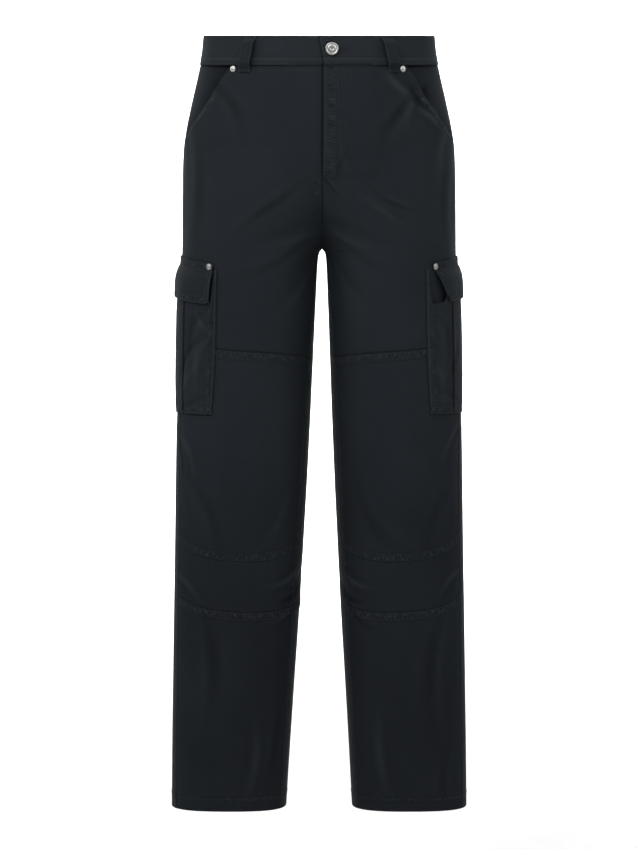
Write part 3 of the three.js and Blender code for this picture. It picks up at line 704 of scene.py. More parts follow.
# Runs an edge of a grid on under its neighbour, as the cut edge of a lapped seam does.
# Four more lines follow the edge's own direction; share says how much of it runs on.
def runUnder(places, axis, atEnd, share=1.0, sink=2.2, steps=(0.08, 0.5, 4, 9)):
    angle, level, under = [np.moveaxis(grid, axis, 0) for grid in places]
    if not atEnd:
        angle, level, under = angle[::-1], level[::-1], under[::-1]
    turn, rise = (angle[-1] - angle[-2]) * 1.75, level[-1] - level[-2]
    size = np.hypot(turn, rise) / np.maximum(share, 0.004)
    angle = np.concatenate([angle, [angle[-1] + turn / size * step / 1.75 for step in steps]])
    level = np.concatenate([level, [level[-1] + rise / size * step for step in steps]])
    under = np.concatenate([under, [sink * share + 0 * turn for step in steps]])
    grids = angle, level, under
    if not atEnd:
        grids = [grid[::-1] for grid in grids]
    return [np.moveaxis(grid, 0, axis) for grid in grids]


# Builds a panel from its angle, level and sinking grids; it stays on its own side of the middle
def makePanel(name, side, places, node, liftAt=None, reach=0.1, dullAt=None):
    angle, level, under = places
    hidden = under > 0
    relief, rise, turn = seamsAt(side, angle, level, reach < 0)
    relief = np.where(hidden, 0, relief)
    normal, _ = skinFrame(side, angle, level)
    lift = liftAt(angle, level) if liftAt else np.zeros_like(angle)
    small = foldHeight(smallFolds, side, angle, level, True)
    fold = foldHeight(largeFolds, side, angle, level) + small
    # painted shade: darker in the hollows of the small folds, plus the shade a caller gives
    dull = np.clip(-small / 2.2, 0, 0.6) + (dullAt(angle, level) if dullAt else 0)
    # painted shadow in the gaping mouth of the left hip pocket, and a painted shade line under the waistband
    gapeShadow = bump((angle + 35) * 1.8, 9) * bump(level + 77, 12)
    dull = dull + 0.8 * bump(body["bandHeight"] + level + 0.3, 1.4) + (0.75 * gapeShadow if side > 0 else 0)
    # painted shade on the inner legs below the fork, where the legs shade each other
    dull = dull + 0.42 * smooth((np.abs(angle) - 112) / 46) * smooth((body["fork"] + 40 - level) / 90)
    # paler on the crests of the small folds and along the lower pocket mouth: edge wear and painted highlight
    fromMouth = (-angle - mouthAngle(side, level)) * 1.9
    paleWearAndHighlight = bump(fromMouth - 4, 5) * smooth((-68 - level) / 30) * (level > body["mouthEnd"])
    rubbed = np.clip(small / 5, 0, 0.3) + 0.3 * paleWearAndHighlight
    out = fold + relief + np.where(hidden, np.minimum(lift, 0), lift) - under
    # the inner face goes down one line sooner, so that the wall keeps its thickness
    padded = np.pad(under, 1, mode="edge")
    soon = np.max([padded[:-2, 1:-1], padded[2:, 1:-1], padded[1:-1, :-2], padded[1:-1, 2:]], axis=0)
    down = np.where(hidden, 0, np.maximum(soon, 0))
    skin = smoothSkin(side, angle, level)
    outer = skin + normal * out[..., None]
    inner = skin + normal * (out - relief * 0.4 - wallAt(level) - down)[..., None]
    middle = middleOf(level)
    # both halves meet at the middle, so nothing pushes their edges apart there
    edge = bump((middleAngle(side, level) - np.abs(angle)) * 1.75, 3) * smooth((level - body["fork"] + 1) / 2)
    # just above the fork their lips cross a little, so that no light comes through
    lips = 0.5 * smooth((level - body["fork"] + 1) / 2) * (1 - smooth((level - body["fork"] - 18) / 12))
    outer[..., 0] = mix(outer[..., 0], skin[..., 0] - side * lips, np.where(hidden, 0, edge))
    for grid in (outer, inner):
        own = middle + side * np.maximum(np.where(lips > 0, -lips, reach), side * (grid[..., 0] - middle))
        grid[..., 0] = np.where(hidden, grid[..., 0], own)
    uv = np.stack([angle * 1.6, level], -1)
    given = {"rise": rise, "turn": turn, "rubbed": rubbed, "dull": dull}
    obj = wallMesh(name, outer, inner, twill, uv=uv, attributes=given, node=node)
    declareSheet(obj, skin)
    return obj


# A front panel between two seams: both edges move with the level, so they settle together
def frontPlaces(side, levelAt, rows, columns):
    row, share = np.meshgrid(rows, columns, indexing="ij")
    level = levelAt(row, np.full_like(row, 90.0))
    for _ in range(6):
        innerEdge = np.minimum(middleAngle(side, level), inseamAngle(level)) - inset
        degrees = mix(mouthAngle(side, level) + inset, innerEdge, share)
        level = levelAt(row, degrees)
    places = [-degrees, level, np.zeros_like(level)]
    places = runUnder(places, 1, False, smooth((body["mouthEnd"] - level[:, 0]) / 4))
    if side > 0:
        places = runUnder(places, 1, True, smooth((places[1][:, -1] - body["fork"] - 1) / 5))
    return places


def betweenSeams(top, bottom):
    return lambda share, degrees: mix(top(degrees) - 0.05, bottom(degrees) + 0.05, share)


def upperLevel(row, degrees):
    share = np.maximum(0, -303 - row) / (-303 - thighSeam(90))
    return row + (thighSeam(degrees) - thighSeam(90)) * share ** 2


def frontPanels(side, suffix):
    columns = sharesTo(92)
    upperRows = np.concatenate([
        np.linspace(-36, -140, 33, endpoint=False), np.linspace(-140, -215, 36, endpoint=False),
        np.linspace(-215, -262, 16, endpoint=False), np.linspace(-262, -303, 20, endpoint=False),
        np.linspace(-303, thighSeam(90) + 0.05, 34)])
    places = runUnder(frontPlaces(side, upperLevel, upperRows, columns), 0, True, sink=4.2)
    makePanel(f"front_upper_cloth_{suffix}", side, places, f"front_upper_{suffix}",
              lambda angle, level: flyLift(side, angle, level))
    places = frontPlaces(side, betweenSeams(thighSeam, kneeTop), sharesTo(106), columns)
    makePanel(f"front_thigh_cloth_{suffix}", side, places, f"front_thigh_{suffix}")
    places = frontPlaces(side, betweenSeams(kneeTop, kneeBottom), sharesTo(42), columns)
    for atEnd in (False, True):
        places = runUnder(places, 0, atEnd, sink=4.2)
    makePanel(f"knee_cloth_{suffix}", side, places, f"knee_{suffix}")
    lowest = lambda degrees: np.full_like(degrees, body["hem"])
    places = frontPlaces(side, betweenSeams(kneeBottom, lowest), sharesTo(104), columns)
    makePanel(f"front_lower_cloth_{suffix}", side, places, f"front_lower_{suffix}")


# The whole back in one piece; the solids have it as four shells
def backPanel(side, suffix):
    rows = np.concatenate([
        np.linspace(-36, -262, 62, endpoint=False), np.linspace(-262, -303, 18, endpoint=False),
        np.linspace(-303, body["hem"] + 0.05, 170)])
    level, share = np.meshgrid(rows, sharesTo(112), indexing="ij")
    start = -sideAngle(level) + inset
    end = np.where(level > body["fork"], middleAngle(side, level), 360 - inseamAngle(level)) - inset
    places = [mix(start, end, share), level, np.zeros_like(level)]
    reaching = 1.0 if side > 0 else smooth((body["fork"] - rows - 1) / 5)
    places = runUnder(places, 1, True, reaching + 0 * rows)
    shells = [f"back_{part}_{suffix}" for part in ("seat", "thigh", "knee", "shin")]
    makePanel(f"back_cloth_{suffix}", side, places, shells)


# The facing fills the slanted mouth of the hip pocket and runs on under the front
def facingPanel(side, suffix):
    levels = np.linspace(-36, body["mouthEnd"] + 2, 60)
    level, share = np.meshgrid(levels, np.linspace(0, 1, 60), indexing="ij")

    def edges(level):
        start = sideAngle(level) + inset
        return start, np.maximum(mouthAngle(side, level) - 1.5, start + 0.5)

    def sunk(angle, level):
        start, mouth = edges(level)
        opening = smooth((-angle - start) / (mouth - start))
        return -(body["cloth"] + 1.9) * np.maximum(opening, smooth((-130 - level) / 10))

    start, mouth = edges(level)
    degrees = np.where(share < 0.75, mix(start, mouth, share / 0.75), mouth + 14 * (share - 0.75) / 0.25)
    places = runUnder([-degrees, level, np.zeros_like(level)], 1, False)

    def shade(angle, level):
        start, mouth = edges(level)
        return (0.35 if side > 0 else 0.75) * smooth((-angle - start) / (mouth - start) * 1.4 - 0.5)

    makePanel(f"hip_facing_cloth_{suffix}", side, places, f"hip_facing_{suffix}", sunk, -1e9, shade)


for side, suffix in ((1, "left"), (-1, "right")):
    frontPanels(side, suffix)
    backPanel(side, suffix)
    facingPanel(side, suffix)
print("panels made")


# ---- the waistband, one strip whose right end passes under the left one ----
def bandPlace(turn, level):
    along = turn
    angle = np.where(along < 180, along - 90, np.where(along < 360, 270 - along, along - 450))
    return np.where((along < 180) | (along >= 360), 1, -1), angle


def bandSkin(turn, level, lift):
    onLeft, angle = bandPlace(turn, level)
    points = np.zeros(turn.shape + (3,))
    for side in (1, -1):
        here = onLeft == side
        if here.any():
            normal, _ = skinFrame(side, angle[here], level[here])
            fold = foldHeight(largeFolds, side, angle[here], level[here])
            points[here] = smoothSkin(side, angle[here], level[here]) + normal * (lift[here] + fold)[..., None]
    return points


def makeWaistband():
    turnEnd = 360 + body["underlap"] / 1.85
    turns = np.concatenate([np.linspace(0, 8, 14, endpoint=False), np.linspace(8, 340, 320, endpoint=False),
                            np.linspace(340, turnEnd, 60)])
    shares = np.concatenate([[0, 0.006, 0.018, 0.035], np.linspace(0.06, 0.94, 26), [0.965, 0.982, 0.994, 1]])
    v, turn = np.meshgrid(shares, turns, indexing="ij")
    level = -body["bandHeight"] * v + np.where(v == 1, 0.15, 0)
    start = -1.3 + 1.8 * v
    turn = np.where(turn < 8, mix(start, 8, turn / 8), turn)
    down = v * body["bandHeight"]
    edge = np.minimum(down, body["bandHeight"] - down)
    rounding = 0.7 * (1 - np.sqrt(1 - (1 - np.clip(edge / 1.4, 0, 1)) ** 2))
    endEdge = np.clip((turn - start) * 2.2 / 1.4, 0, 1)
    rounding = np.maximum(rounding, 0.7 * (1 - np.sqrt(1 - (1 - endEdge) ** 2)))
    sink = 3.3 * smooth((turn - 343) / 13)
    along = turn * 2.4
    rows = 0.1 * (bump(down - 2.4, 0.9) + bump(down - 37.1, 0.9))
    waves = 0.2 * unevenWave(along + 0.5 * down, 15, 0.4) * (bump(down - 35, 5) + 0.6 * bump(down - 4, 5))
    ridge = 0.25 * bump(down - 29.5, 1.6) + 0.12 * unevenWave(along, 47, 2.2)
    lift = body["bandProud"] - sink
    outer = bandSkin(turn, level, lift - rounding - rows + waves + ridge)
    inner = bandSkin(turn, level, lift - body["bandThick"] + rounding)
    start = np.where(turn < 8, (turn - start) * 2.4, lap["far"])
    # paler at both edges and along the ridge, and a little paler all over: edge wear and painted highlight; darker
    # under the lower edge and beside the ridge: painted shade
    paleWearAndHighlight = 0.12 * bump(down, 1.4) + 0.14 * bump(down - 30.5, 2.2) + 0.1 * bump(down - 38, 1)
    given = {"turn": start, "rubbed": 0.08 + paleWearAndHighlight,
             "dull": 0.7 * bump(down - body["bandHeight"], 0.8) + 0.4 * bump(down - 27.8, 0.9)}
    obj = wallMesh("waistband_cloth", outer, inner, twill, uv=np.stack([along, level], -1),
                   attributes=given, node="waistband")
    declareSheet(obj, bandSkin(turn, level, lift))


makeWaistband()
print("waistband made")

# ---- belt loops ----
loop = {"width": 12, "thick": 1.8, "slack": 6.9, "top": -1, "bottom": -49}
# name, side, angle at the head and at the foot
loopPlaces = [("front_left", 1, -58.4, -55.3), ("front_right", -1, -56.3, -54), ("back_left", 1, 38, 38),
              ("back_right", -1, 38, 38), ("centre_back", 1, 90, 90)]


def loopLift(v, level):
    onBand = body["bandProud"] * smooth((level + body["bandHeight"] + 1) / 4)
    return onBand + 0.3 + loop["slack"] * smooth((v - 0.05) / 0.16) * smooth((0.93 - v) / 0.16) + loop["thick"]


def makeLoop(name, side, head, foot):
    shares = np.concatenate([[0, 0.012, 0.03], np.linspace(0.05, 0.95, 48), [0.97, 0.988, 1]])
    widths = np.concatenate([[-0.5, -0.485, -0.45], np.linspace(-0.4, 0.4, 15), [0.45, 0.485, 0.5]])
    v, across = np.meshgrid(shares, widths, indexing="ij")
    level = mix(loop["top"], loop["bottom"], v)
    turn = across * loop["width"] / (1.95 if (head > 60 or head < -50) else 2.2)
    angle = mix(head, foot, v)
    rounding = 0.35 * (1 - np.sqrt(1 - (1 - np.clip((0.5 - np.abs(across)) / 0.06, 0, 1)) ** 2))
    rounding = rounding + 0.15 * (1 - np.clip(np.minimum(v, 1 - v) / 0.03, 0, 1) ** 0.5)
    stitched = 0.16 * bump(np.abs(across) * loop["width"] - 3.9, 0.7)
    lift = loopLift(v, level)
    normal, _ = skinFrame(side, angle + turn, level)
    skin = smoothSkin(side, angle + turn, level)
    fold = foldHeight(largeFolds, side, angle + turn, level)
    outer = skin + normal * (fold + lift - rounding - stitched)[..., None]
    inner = skin + normal * (fold + lift - loop["thick"] + rounding)[..., None]
    # paler at the loop's edges and where it bends out at the top: edge wear and painted highlight
    rubbed = 0.3 * smooth((np.abs(across) - 0.4) / 0.1) + 0.3 * bump(v - 0.06, 0.05)
    uv = np.stack([across * loop["width"], level], -1)
    obj = wallMesh(f"belt_loop_cloth_{name}", outer, inner, twill, uv=uv,
                   attributes={"rubbed": rubbed}, node=f"belt_loop_{name}")
    declareSheet(obj, outer)


for place in loopPlaces:
    makeLoop(*place)
print("belt loops made")

# ---- cargo pockets and flaps ----
pocket = {"centre": {1: -14, -1: -17}, "halfWidth": 78, "top": -330, "bottom": -504, "cloth": 1.1,
          "pleatHalf": 18, "pleatShift": {1: 14, -1: 4}, "groove": 3.6, "raise": 1.3, "wall": 1.6, "earRise": 26,
          "mouthDip": {1: 21, -1: 18}}
flap = {"halfWidth": 80, "frontWidth": {1: 68.5, -1: 72.5}, "taper": {1: 0.36, -1: 0.02}, "top": -297,
        "depth": 54, "slope": 0.1, "thick": 2}
pocketLift = curveThrough([-504, -497, -480, -450, -410, -360, -330], [1.9, 2.6, 4.3, 6.4, 7.4, 7, 6.5])
flapLiftCurve = curveThrough([0, -9, -16, -24, -36, -54], [2.6, 3, 6.2, 8.6, 9.9, 10.1])
# side, across, row, lean, half length, half width, height, bend
pocketFolds = [
    [1, 46, -392, 10, 44, 6, -1.3, 6], [1, 56, -356, 24, 26, 4.5, 1.0, 4], [1, 30, -432, -24, 30, 5, -1.0, 5],
    [1, 60, -452, 20, 26, 4.5, 0.9, 4], [1, 38, -478, 62, 26, 4.2, -1.0, 4],
    [-1, 42, -384, 16, 34, 6, -1.6, 6], [-1, 58, -372, -30, 22, 4, 1.2, 4], [-1, 34, -420, 38, 30, 5, -1.5, 6],
    [-1, 52, -434, 12, 30, 5, 1.2, 5], [-1, 30, -462, 30, 26, 4.6, 1.0, 4], [-1, 48, -486, 68, 24, 4, -1.0, 3],
    [1, -44, -400, -8, 40, 6, -1.2, 5], [1, -56, -452, -22, 28, 5, 1.0, 4], [-1, -46, -396, -10, 44, 6, -1.2, 5],
    [-1, -34, -450, 26, 30, 5, -1.0, 5], [1, -32, -474, 40, 26, 4.6, 0.9, 4], [-1, -58, -440, -18, 26, 4.6, 0.9, 4],
]


def pocketFoldHeight(side, across, row):
    height = np.zeros(np.broadcast(across, row).shape)
    for of, at, drop, lean, length, width, rise, bend in pocketFolds:
        if of != side:
            continue
        turn = math.radians(lean)
        along = (across - at) * math.sin(turn) + (row - drop) * math.cos(turn)
        off = (across - at) * math.cos(turn) - (row - drop) * math.sin(turn) - bend * (along / length) ** 2
        height += rise * (bump(off, width) - 0.4 * bump(off - 1.7 * width, width)) * bump(along, length)
    return height


# The pocket's face over its width: gusset, flat, and a raised box pleat in the middle
def pocketProfile(side, across, row):
    full = pocketLift(row)
    gusset = mix(5, 9, smooth((row + 480) / 120))
    fromEdge = pocket["halfWidth"] - np.abs(across)
    rise = smooth(fromEdge / gusset)
    closing = smooth((row - pocket["bottom"]) / 14)
    inPleat = np.abs(across - pocket["pleatShift"][side]) - pocket["pleatHalf"]
    fadeTop = smooth((pocket["top"] - 4 - row) / 40)
    box = pocket["raise"] * smooth(-inPleat / pocket["wall"]) * fadeTop
    groove = pocket["groove"] * np.maximum(0, 1 - np.abs(inPleat - 0.6) / 2.0)
    edge = body["cloth"] + 0.3
    plain = edge + (full - edge) * rise + (box - groove) * closing * rise
    flatPart = smooth((fromEdge - 4) / 8) * closing
    fromFoot = row - pocket["bottom"]
    sewn = 0.35 * bump(fromEdge - 2.6, 0.9) + 0.35 * bump(fromFoot - 3, 0.9)
    sewn = sewn + 0.25 * bump(row - pocket["top"] + 16, 0.9)
    pucker = (0.28 * unevenWave(row, 9, 1.1 + side) * bump(fromEdge - 4, 5)
              + 0.28 * unevenWave(across, 8, 2.3 + side) * bump(fromFoot - 5, 6))
    return np.maximum(edge, plain + pocketFoldHeight(side, across, row) * flatPart + pucker) - sewn


# The gusset at both edges goes on up beside the flap, and the mouth dips beside the front one
def pocketPlace(side, across, row):
    angle = pocket["centre"][side] - across / 1.6
    beside = smooth((across - 36) / 16) * (1 - smooth((across - 71.4) / 1.6))
    row = row - pocket["mouthDip"][side] * beside * smooth((row + 400) / 70)
    row = row + pocket["earRise"] * smooth((np.abs(across) - 73.2) / 1.6) * smooth((row + 372) / 42)
    level = row - flap["slope"] * across * (row - pocket["bottom"]) / (pocket["top"] - pocket["bottom"])
    return angle, level


def offSkin(side, angle, level, lift):
    normal, _ = skinFrame(side, angle, level)
    fold = foldHeight(largeFolds, side, angle, level)
    return smoothSkin(side, angle, level) + normal * (lift + fold)[..., None], normal


def makePocket(side, suffix):
    half = np.concatenate([np.linspace(0, 14, 9), np.linspace(15, 23, 21), np.linspace(25, 66, 20),
                           np.linspace(67, 78, 14)])
    columns = np.concatenate([-half[:0:-1], half])
    columns = columns + pocket["pleatShift"][side] * (1 - smooth((np.abs(columns) - 23) / 43))
    rows = np.concatenate([np.linspace(-330, -480, 74, endpoint=False), np.linspace(-480, -504, 22)])
    row, across = np.meshgrid(rows, columns, indexing="ij")
    angle, level = pocketPlace(side, across, row)
    lift = pocketProfile(side, across, row)
    outer, _ = offSkin(side, angle, level, lift)
    inner, _ = offSkin(side, angle, level, lift - pocket["cloth"])
    fromEdge = pocket["halfWidth"] - np.abs(across)
    folds = pocketFoldHeight(side, across, row)
    inPleat = np.abs(across - pocket["pleatShift"][side]) - pocket["pleatHalf"]
    # paler at the pleat's edge, the pocket's edge and the fold crests: edge wear and painted highlight; darker in
    # the pleat's groove and the fold hollows: painted shade
    rubbed = 0.3 * bump(inPleat + 1.6, 1.3) + 0.2 * bump(fromEdge - 1.5, 1.5) + folds / 6
    dull = 1.15 * bump(inPleat - 0.8, 1.8) * smooth((pocket["top"] - row) / 30) - folds / 4
    given = {"rise": np.maximum(row - pocket["bottom"], 0.9), "turn": np.maximum(fromEdge, 0.9),
             "rubbed": np.clip(rubbed, 0, 1), "dull": np.clip(dull, 0, 1)}
    obj = wallMesh(f"cargo_pocket_cloth_{suffix}", outer, inner, twill, uv=np.stack([-across, row], -1),
                   attributes=given, node=f"cargo_pocket_{suffix}")
    declareSheet(obj, outer)


def flapPlace(side, u, down):
    share = down / flap["depth"]
    front = flap["frontWidth"][side] * (1 - flap["taper"][side] * share)
    across = np.where(u > 0, u * front, u * flap["halfWidth"])
    corner = 3 * smooth((np.abs(u) - 0.9) / 0.1) * smooth((share - 0.8) / 0.2)
    return across, flap["top"] - flap["slope"] * across - down + corner


def flapLift(side, u, across, down):
    lift = flapLiftCurve(-down)
    edge = np.minimum((1 - np.abs(u)) * flap["halfWidth"], flap["depth"] - down)
    rounding = 0.5 * (1 - np.sqrt(1 - (1 - np.clip(edge / 1.3, 0, 1)) ** 2))
    sewn = 0.22 * sum(bump(away, 0.8) for away in (edge - 2.4, edge - 8, down - 2.6, down - 9))
    pucker = 0.35 * unevenWave(across + down, 9, 0.8 + side) * bump(edge - 5, 5)
    wave = 0.7 * unevenWave(across, 52, 1.9 * side) * smooth((down - 16) / 20)
    return lift, rounding, pucker + wave - sewn


def makeFlap(side, suffix):
    u = np.concatenate([[-1, -0.995, -0.985], np.linspace(-0.97, 0.97, 84), [0.985, 0.995, 1]])
    down = np.concatenate([[0, 0.4, 1.2], np.linspace(2, 52, 42), [53, 53.7, 54]])
    down, u = np.meshgrid(down, u, indexing="ij")
    across, level = flapPlace(side, u, down)
    angle = pocket["centre"][side] - across / 1.6
    lift, rounding, relief = flapLift(side, u, across, down)
    outer, _ = offSkin(side, angle, level, lift + relief - rounding)
    inner, _ = offSkin(side, angle, level, lift - flap["thick"] + rounding)
    fromSide = (1 - np.abs(u)) * flap["halfWidth"]
    edge = np.minimum(fromSide, flap["depth"] - down)
    rise = np.minimum(down, flap["depth"] - down)
    # paler along the flap's edges: edge wear and painted highlight
    given = {"rise": np.maximum(rise, 0.9), "turn": np.maximum(fromSide, 0.9),
             "rubbed": 0.3 * bump(edge, 1.4)}
    obj = wallMesh(f"cargo_flap_cloth_{suffix}", outer, inner, twill, uv=np.stack([-across, level], -1),
                   attributes=given, node=f"cargo_flap_{suffix}")
    declareSheet(obj, outer)


for side, suffix in ((1, "left"), (-1, "right")):
    makePocket(side, suffix)
    makeFlap(side, suffix)
print("cargo pockets made")


# ---- metal: a profile of radius and height turned about the cloth's normal ----
def turned(name, profile, side, angle, level, lift, node, segments=48):
    profile = np.array(profile, float)
    turn = np.linspace(0, 2 * np.pi, segments, endpoint=False)
    at, normal = offSkin(side, np.array(angle, float), np.array(level, float), np.array(lift, float))
    first = np.cross(normal, [0, 0, 1.0])
    first /= np.linalg.norm(first)
    second = np.cross(normal, first)
    ring = np.cos(turn)[:, None] * first + np.sin(turn)[:, None] * second
    points = at + profile[:, None, :1] * ring[None] + profile[:, None, 1:] * normal
    rows = len(profile)
    i, j = np.meshgrid(np.arange(rows - 1), np.arange(segments), indexing="ij")
    a, b = (i * segments + j).ravel(), (i * segments + (j + 1) % segments).ravel()
    quads = np.stack([a, b, b + segments, a + segments], -1)
    mesh = addMesh(name, points.reshape(-1, 3), quads, nickel, node=node, slot="metal")
    data = mesh.data
    work = bmesh.new()
    work.from_mesh(data)
    bmesh.ops.remove_doubles(work, verts=work.verts, dist=1e-7)
    bmesh.ops.recalc_face_normals(work, faces=work.faces)
    work.to_mesh(data)
    work.free()
    return mesh


def roundProfile(corners, fine=3):
    # halves each corner of a profile a few times, so that its edges are soft
    line = np.array(corners, float)
    for _ in range(fine):
        a, b = line[:-1], line[1:]
        cut = np.stack([mix(a, b, 0.25), mix(a, b, 0.75)], 1).reshape(-1, 2)
        line = np.concatenate([line[:1], cut[1:-1], line[-1:]])
    return line


button = {"radius": 8.7, "x": 16.6, "level": -17.5}
rivet = {"radius": 4.2}


def makeButton():
    r = button["radius"]
    half = ringAt(1, np.array(button["level"], float))[1]
    share = ((button["x"] - body["middleShift"]) / half) ** (curves["round"](button["level"]) / 2)
    angle = -math.degrees(math.acos(share))
    profile = roundProfile([[0, 0], [3, 0], [3, 1.6], [r - 0.6, 1.8], [r, 2.6], [r - 0.4, 3.6], [r - 1.5, 3.9],
                            [r - 2.3, 3.35], [r - 3.0, 3.3], [r - 3.6, 3.7], [2.6, 3.9], [1.9, 3.5], [0, 3.5]])
    turned("button_metal", profile, 1, angle, button["level"], body["bandProud"] + 0.3, "button", 72)


def makeRivet(name, side, angle, level, lift):
    r = rivet["radius"]
    profile = roundProfile([[0, 0], [r - 0.3, 0], [r, 0.35], [r - 0.5, 1.0], [r - 1.5, 1.1], [1.9, 1.2],
                            [1.4, 1.9], [0, 2.15]])
    turned(f"{name}_metal", profile, side, angle, level, lift + 0.45, name)


makeButton()
for side, suffix in ((1, "left"), (-1, "right")):
    makeRivet(f"rivet_hip_{suffix}", side, -49.5 if side > 0 else -46.5, -44.1, 0)
    for place, across in (("front", 63 if side > 0 else 67), ("back", -67)):
        down = 5.2
        level = flap["top"] - flap["slope"] * across - down
        makeRivet(f"rivet_flap_{place}_{suffix}", side, pocket["centre"][side] - across / 1.6, level,
                  float(flapLiftCurve(-down)))
print("metal made")


# ---- stitches ----
stitch = {"pitch": 3.3, "length": 2.55, "radius": 0.3, "sides": 4, "rings": 2}
threadRuns = {}


# Stitches along a line of points: short threads that dip into the cloth at both ends
def addStitches(group, points, normals, pitch=None, length=None, radius=None):
    pitch = pitch or stitch["pitch"]
    length = length or stitch["length"]
    radius = radius or stitch["radius"]
    step = np.linalg.norm(np.diff(points, axis=0), axis=1)
    place = np.concatenate([[0], np.cumsum(step)])
    count = int((place[-1] - length) // pitch)
    if count < 1:
        return
    starts = (place[-1] - (count * pitch + length)) / 2 + np.arange(count + 1) * pitch
    t = np.linspace(0, 1, stitch["rings"] + 2)
    at = starts[:, None] + t[None] * length
    pick = lambda values: np.stack([np.interp(at, place, values[:, k]) for k in range(3)], -1)
    centre, normal = pick(points), pick(normals)
    normal /= np.linalg.norm(normal, axis=-1, keepdims=True)
    arch = np.sin(np.pi * t)
    centre = centre + normal * (arch * 0.28 - 0.12)[None, :, None]
    ahead = np.gradient(centre, axis=1)
    ahead /= np.maximum(np.linalg.norm(ahead, axis=-1, keepdims=True), 1e-9)
    sideways = np.cross(ahead, normal)
    turn = np.linspace(0, 2 * np.pi, stitch["sides"], endpoint=False)
    girth = radius * np.sqrt(np.clip(np.sin(np.pi * np.clip(t, 0.03, 0.97)), 0, 1))
    ring = (np.cos(turn)[None, None, :, None] * normal[:, :, None]
            + np.sin(turn)[None, None, :, None] * sideways[:, :, None])
    threadRuns.setdefault(group, []).append(centre[:, :, None] + ring * girth[None, :, None, None])


def makeThreads():
    for group, runs in threadRuns.items():
        rings = np.concatenate(runs)
        count, lengths, sides = rings.shape[:3]
        i, j = np.meshgrid(np.arange(lengths - 1), np.arange(sides), indexing="ij")
        a, b = (i * sides + j).ravel(), (i * sides + (j + 1) % sides).ravel()
        quads = np.stack([a, a + sides, b + sides, b], -1)
        faces = (quads[None] + (np.arange(count) * lengths * sides)[:, None, None]).reshape(-1, 4)
        addMesh(f"stitches_{group}", rings.reshape(-1, 3), faces, threadMaterial)
        print("stitches", group, count)


# A row on the panels, given as angles and levels
def rowOnCloth(group, side, angle, level, lift=0.0, **more):
    angle, level = np.broadcast_arrays(np.asarray(angle, float), np.asarray(level, float))
    points, normals = clothPoint(side, angle, level, lift)
    addStitches(group, points, normals, **more)


def sewHalf(side, suffix):
    # side seam and inseam
    level = np.linspace(-44, body["hem"] + 2, 1400)
    for row in lap["rows"]:
        rowOnCloth(f"side_{suffix}", side, -(sideAngle(level) - row / 1.75), level)
    level = np.linspace(body["fork"] - 8, body["hem"] + 2, 1100)
    for row in lap["rows"]:
        rowOnCloth(f"inseam_{suffix}", side, -(inseamAngle(level) - row / 1.6), level)
    # the seams across the front, whose laps lie below the thigh and shin seams and above the knee's
    share = np.linspace(1, 0, 420)
    for seam, way in ((thighSeam, -1), (kneeTop, 1), (kneeBottom, -1)):
        for row in lap["rows"]:
            middle = seam(np.full(420, 90.0)) + way * row
            along = mix(sideAngle(middle) + 0.8, inseamAngle(middle) - 0.8, share)
            rowOnCloth(f"legs_{suffix}", side, -along, seam(along) + way * row)
    # hem
    around = np.linspace(-180, 180, 900)
    rowOnCloth(f"hem_{suffix}", side, around, np.full(900, body["hem"] + 18.0))
    # pocket mouth
    level = np.linspace(-46, body["mouthEnd"] - 3, 260)
    for away in (2.4, 8.6):
        angle = -(mouthAngle(side, level) + away / 1.9)
        rowOnCloth(f"hips_{suffix}", side, angle, level, flyLift(side, angle, level))


def sewFly():
    # the curved double row that holds the fly: straight down, then a quarter turn to the middle
    for away in (0.0, 5.6):
        straight = np.linspace(-43, -158, 160)
        turn = np.linspace(0, np.pi / 2, 90)
        width = 35 - away
        fromMiddle = np.concatenate([np.full(160, width), width * np.cos(turn) + 0.5 * (1 - np.cos(turn))])
        level = np.concatenate([straight, -158 - (32 - away) * np.sin(turn)])
        angle = frontAngle(1, level, fromMiddle)
        rowOnCloth("fly", 1, angle, level, flyLift(1, angle, level))
    level = np.linspace(-42, body["flyEnd"] + 4, 220)
    angle = frontAngle(1, level, 2.4)
    rowOnCloth("fly", 1, angle, level, flyLift(1, angle, level))
    level = np.linspace(body["flyEnd"] - 2, body["fork"] + 14, 120)
    for away in lap["rows"]:
        rowOnCloth("fly", -1, -(middleAngle(-1, level) - away / 1.75), level)


def sewSeat():
    level = np.linspace(-43, body["fork"] + 12, 360)
    for away in lap["rows"]:
        rowOnCloth("seat", -1, middleAngle(-1, level) - away / 1.75, level)


def sewBand():
    turn = np.linspace(1.5, 354, 2600)
    for down in (2.4, 37.1):
        level = np.full_like(turn, -down)
        lift = body["bandProud"] - 3.3 * smooth((turn - 343) / 13) - 0.05
        points = bandSkin(turn, level, lift)
        ahead = np.gradient(points, axis=0)
        normals = np.cross(ahead, [0, 0, 1.0])
        normals /= np.linalg.norm(normals, axis=1, keepdims=True)
        if np.dot(normals[0], [0, -1, 0]) < 0:
            normals = -normals
        addStitches("waistband", points, normals)
    # across the lap's end
    v = np.linspace(0.1, 0.9, 60)
    start = -1.3 + 1.8 * v + 1.5
    points = bandSkin(start, -body["bandHeight"] * v, np.full(60, body["bandProud"] - 0.05))
    addStitches("waistband", points, np.tile([0.0, -1.0, 0.0], (60, 1)))


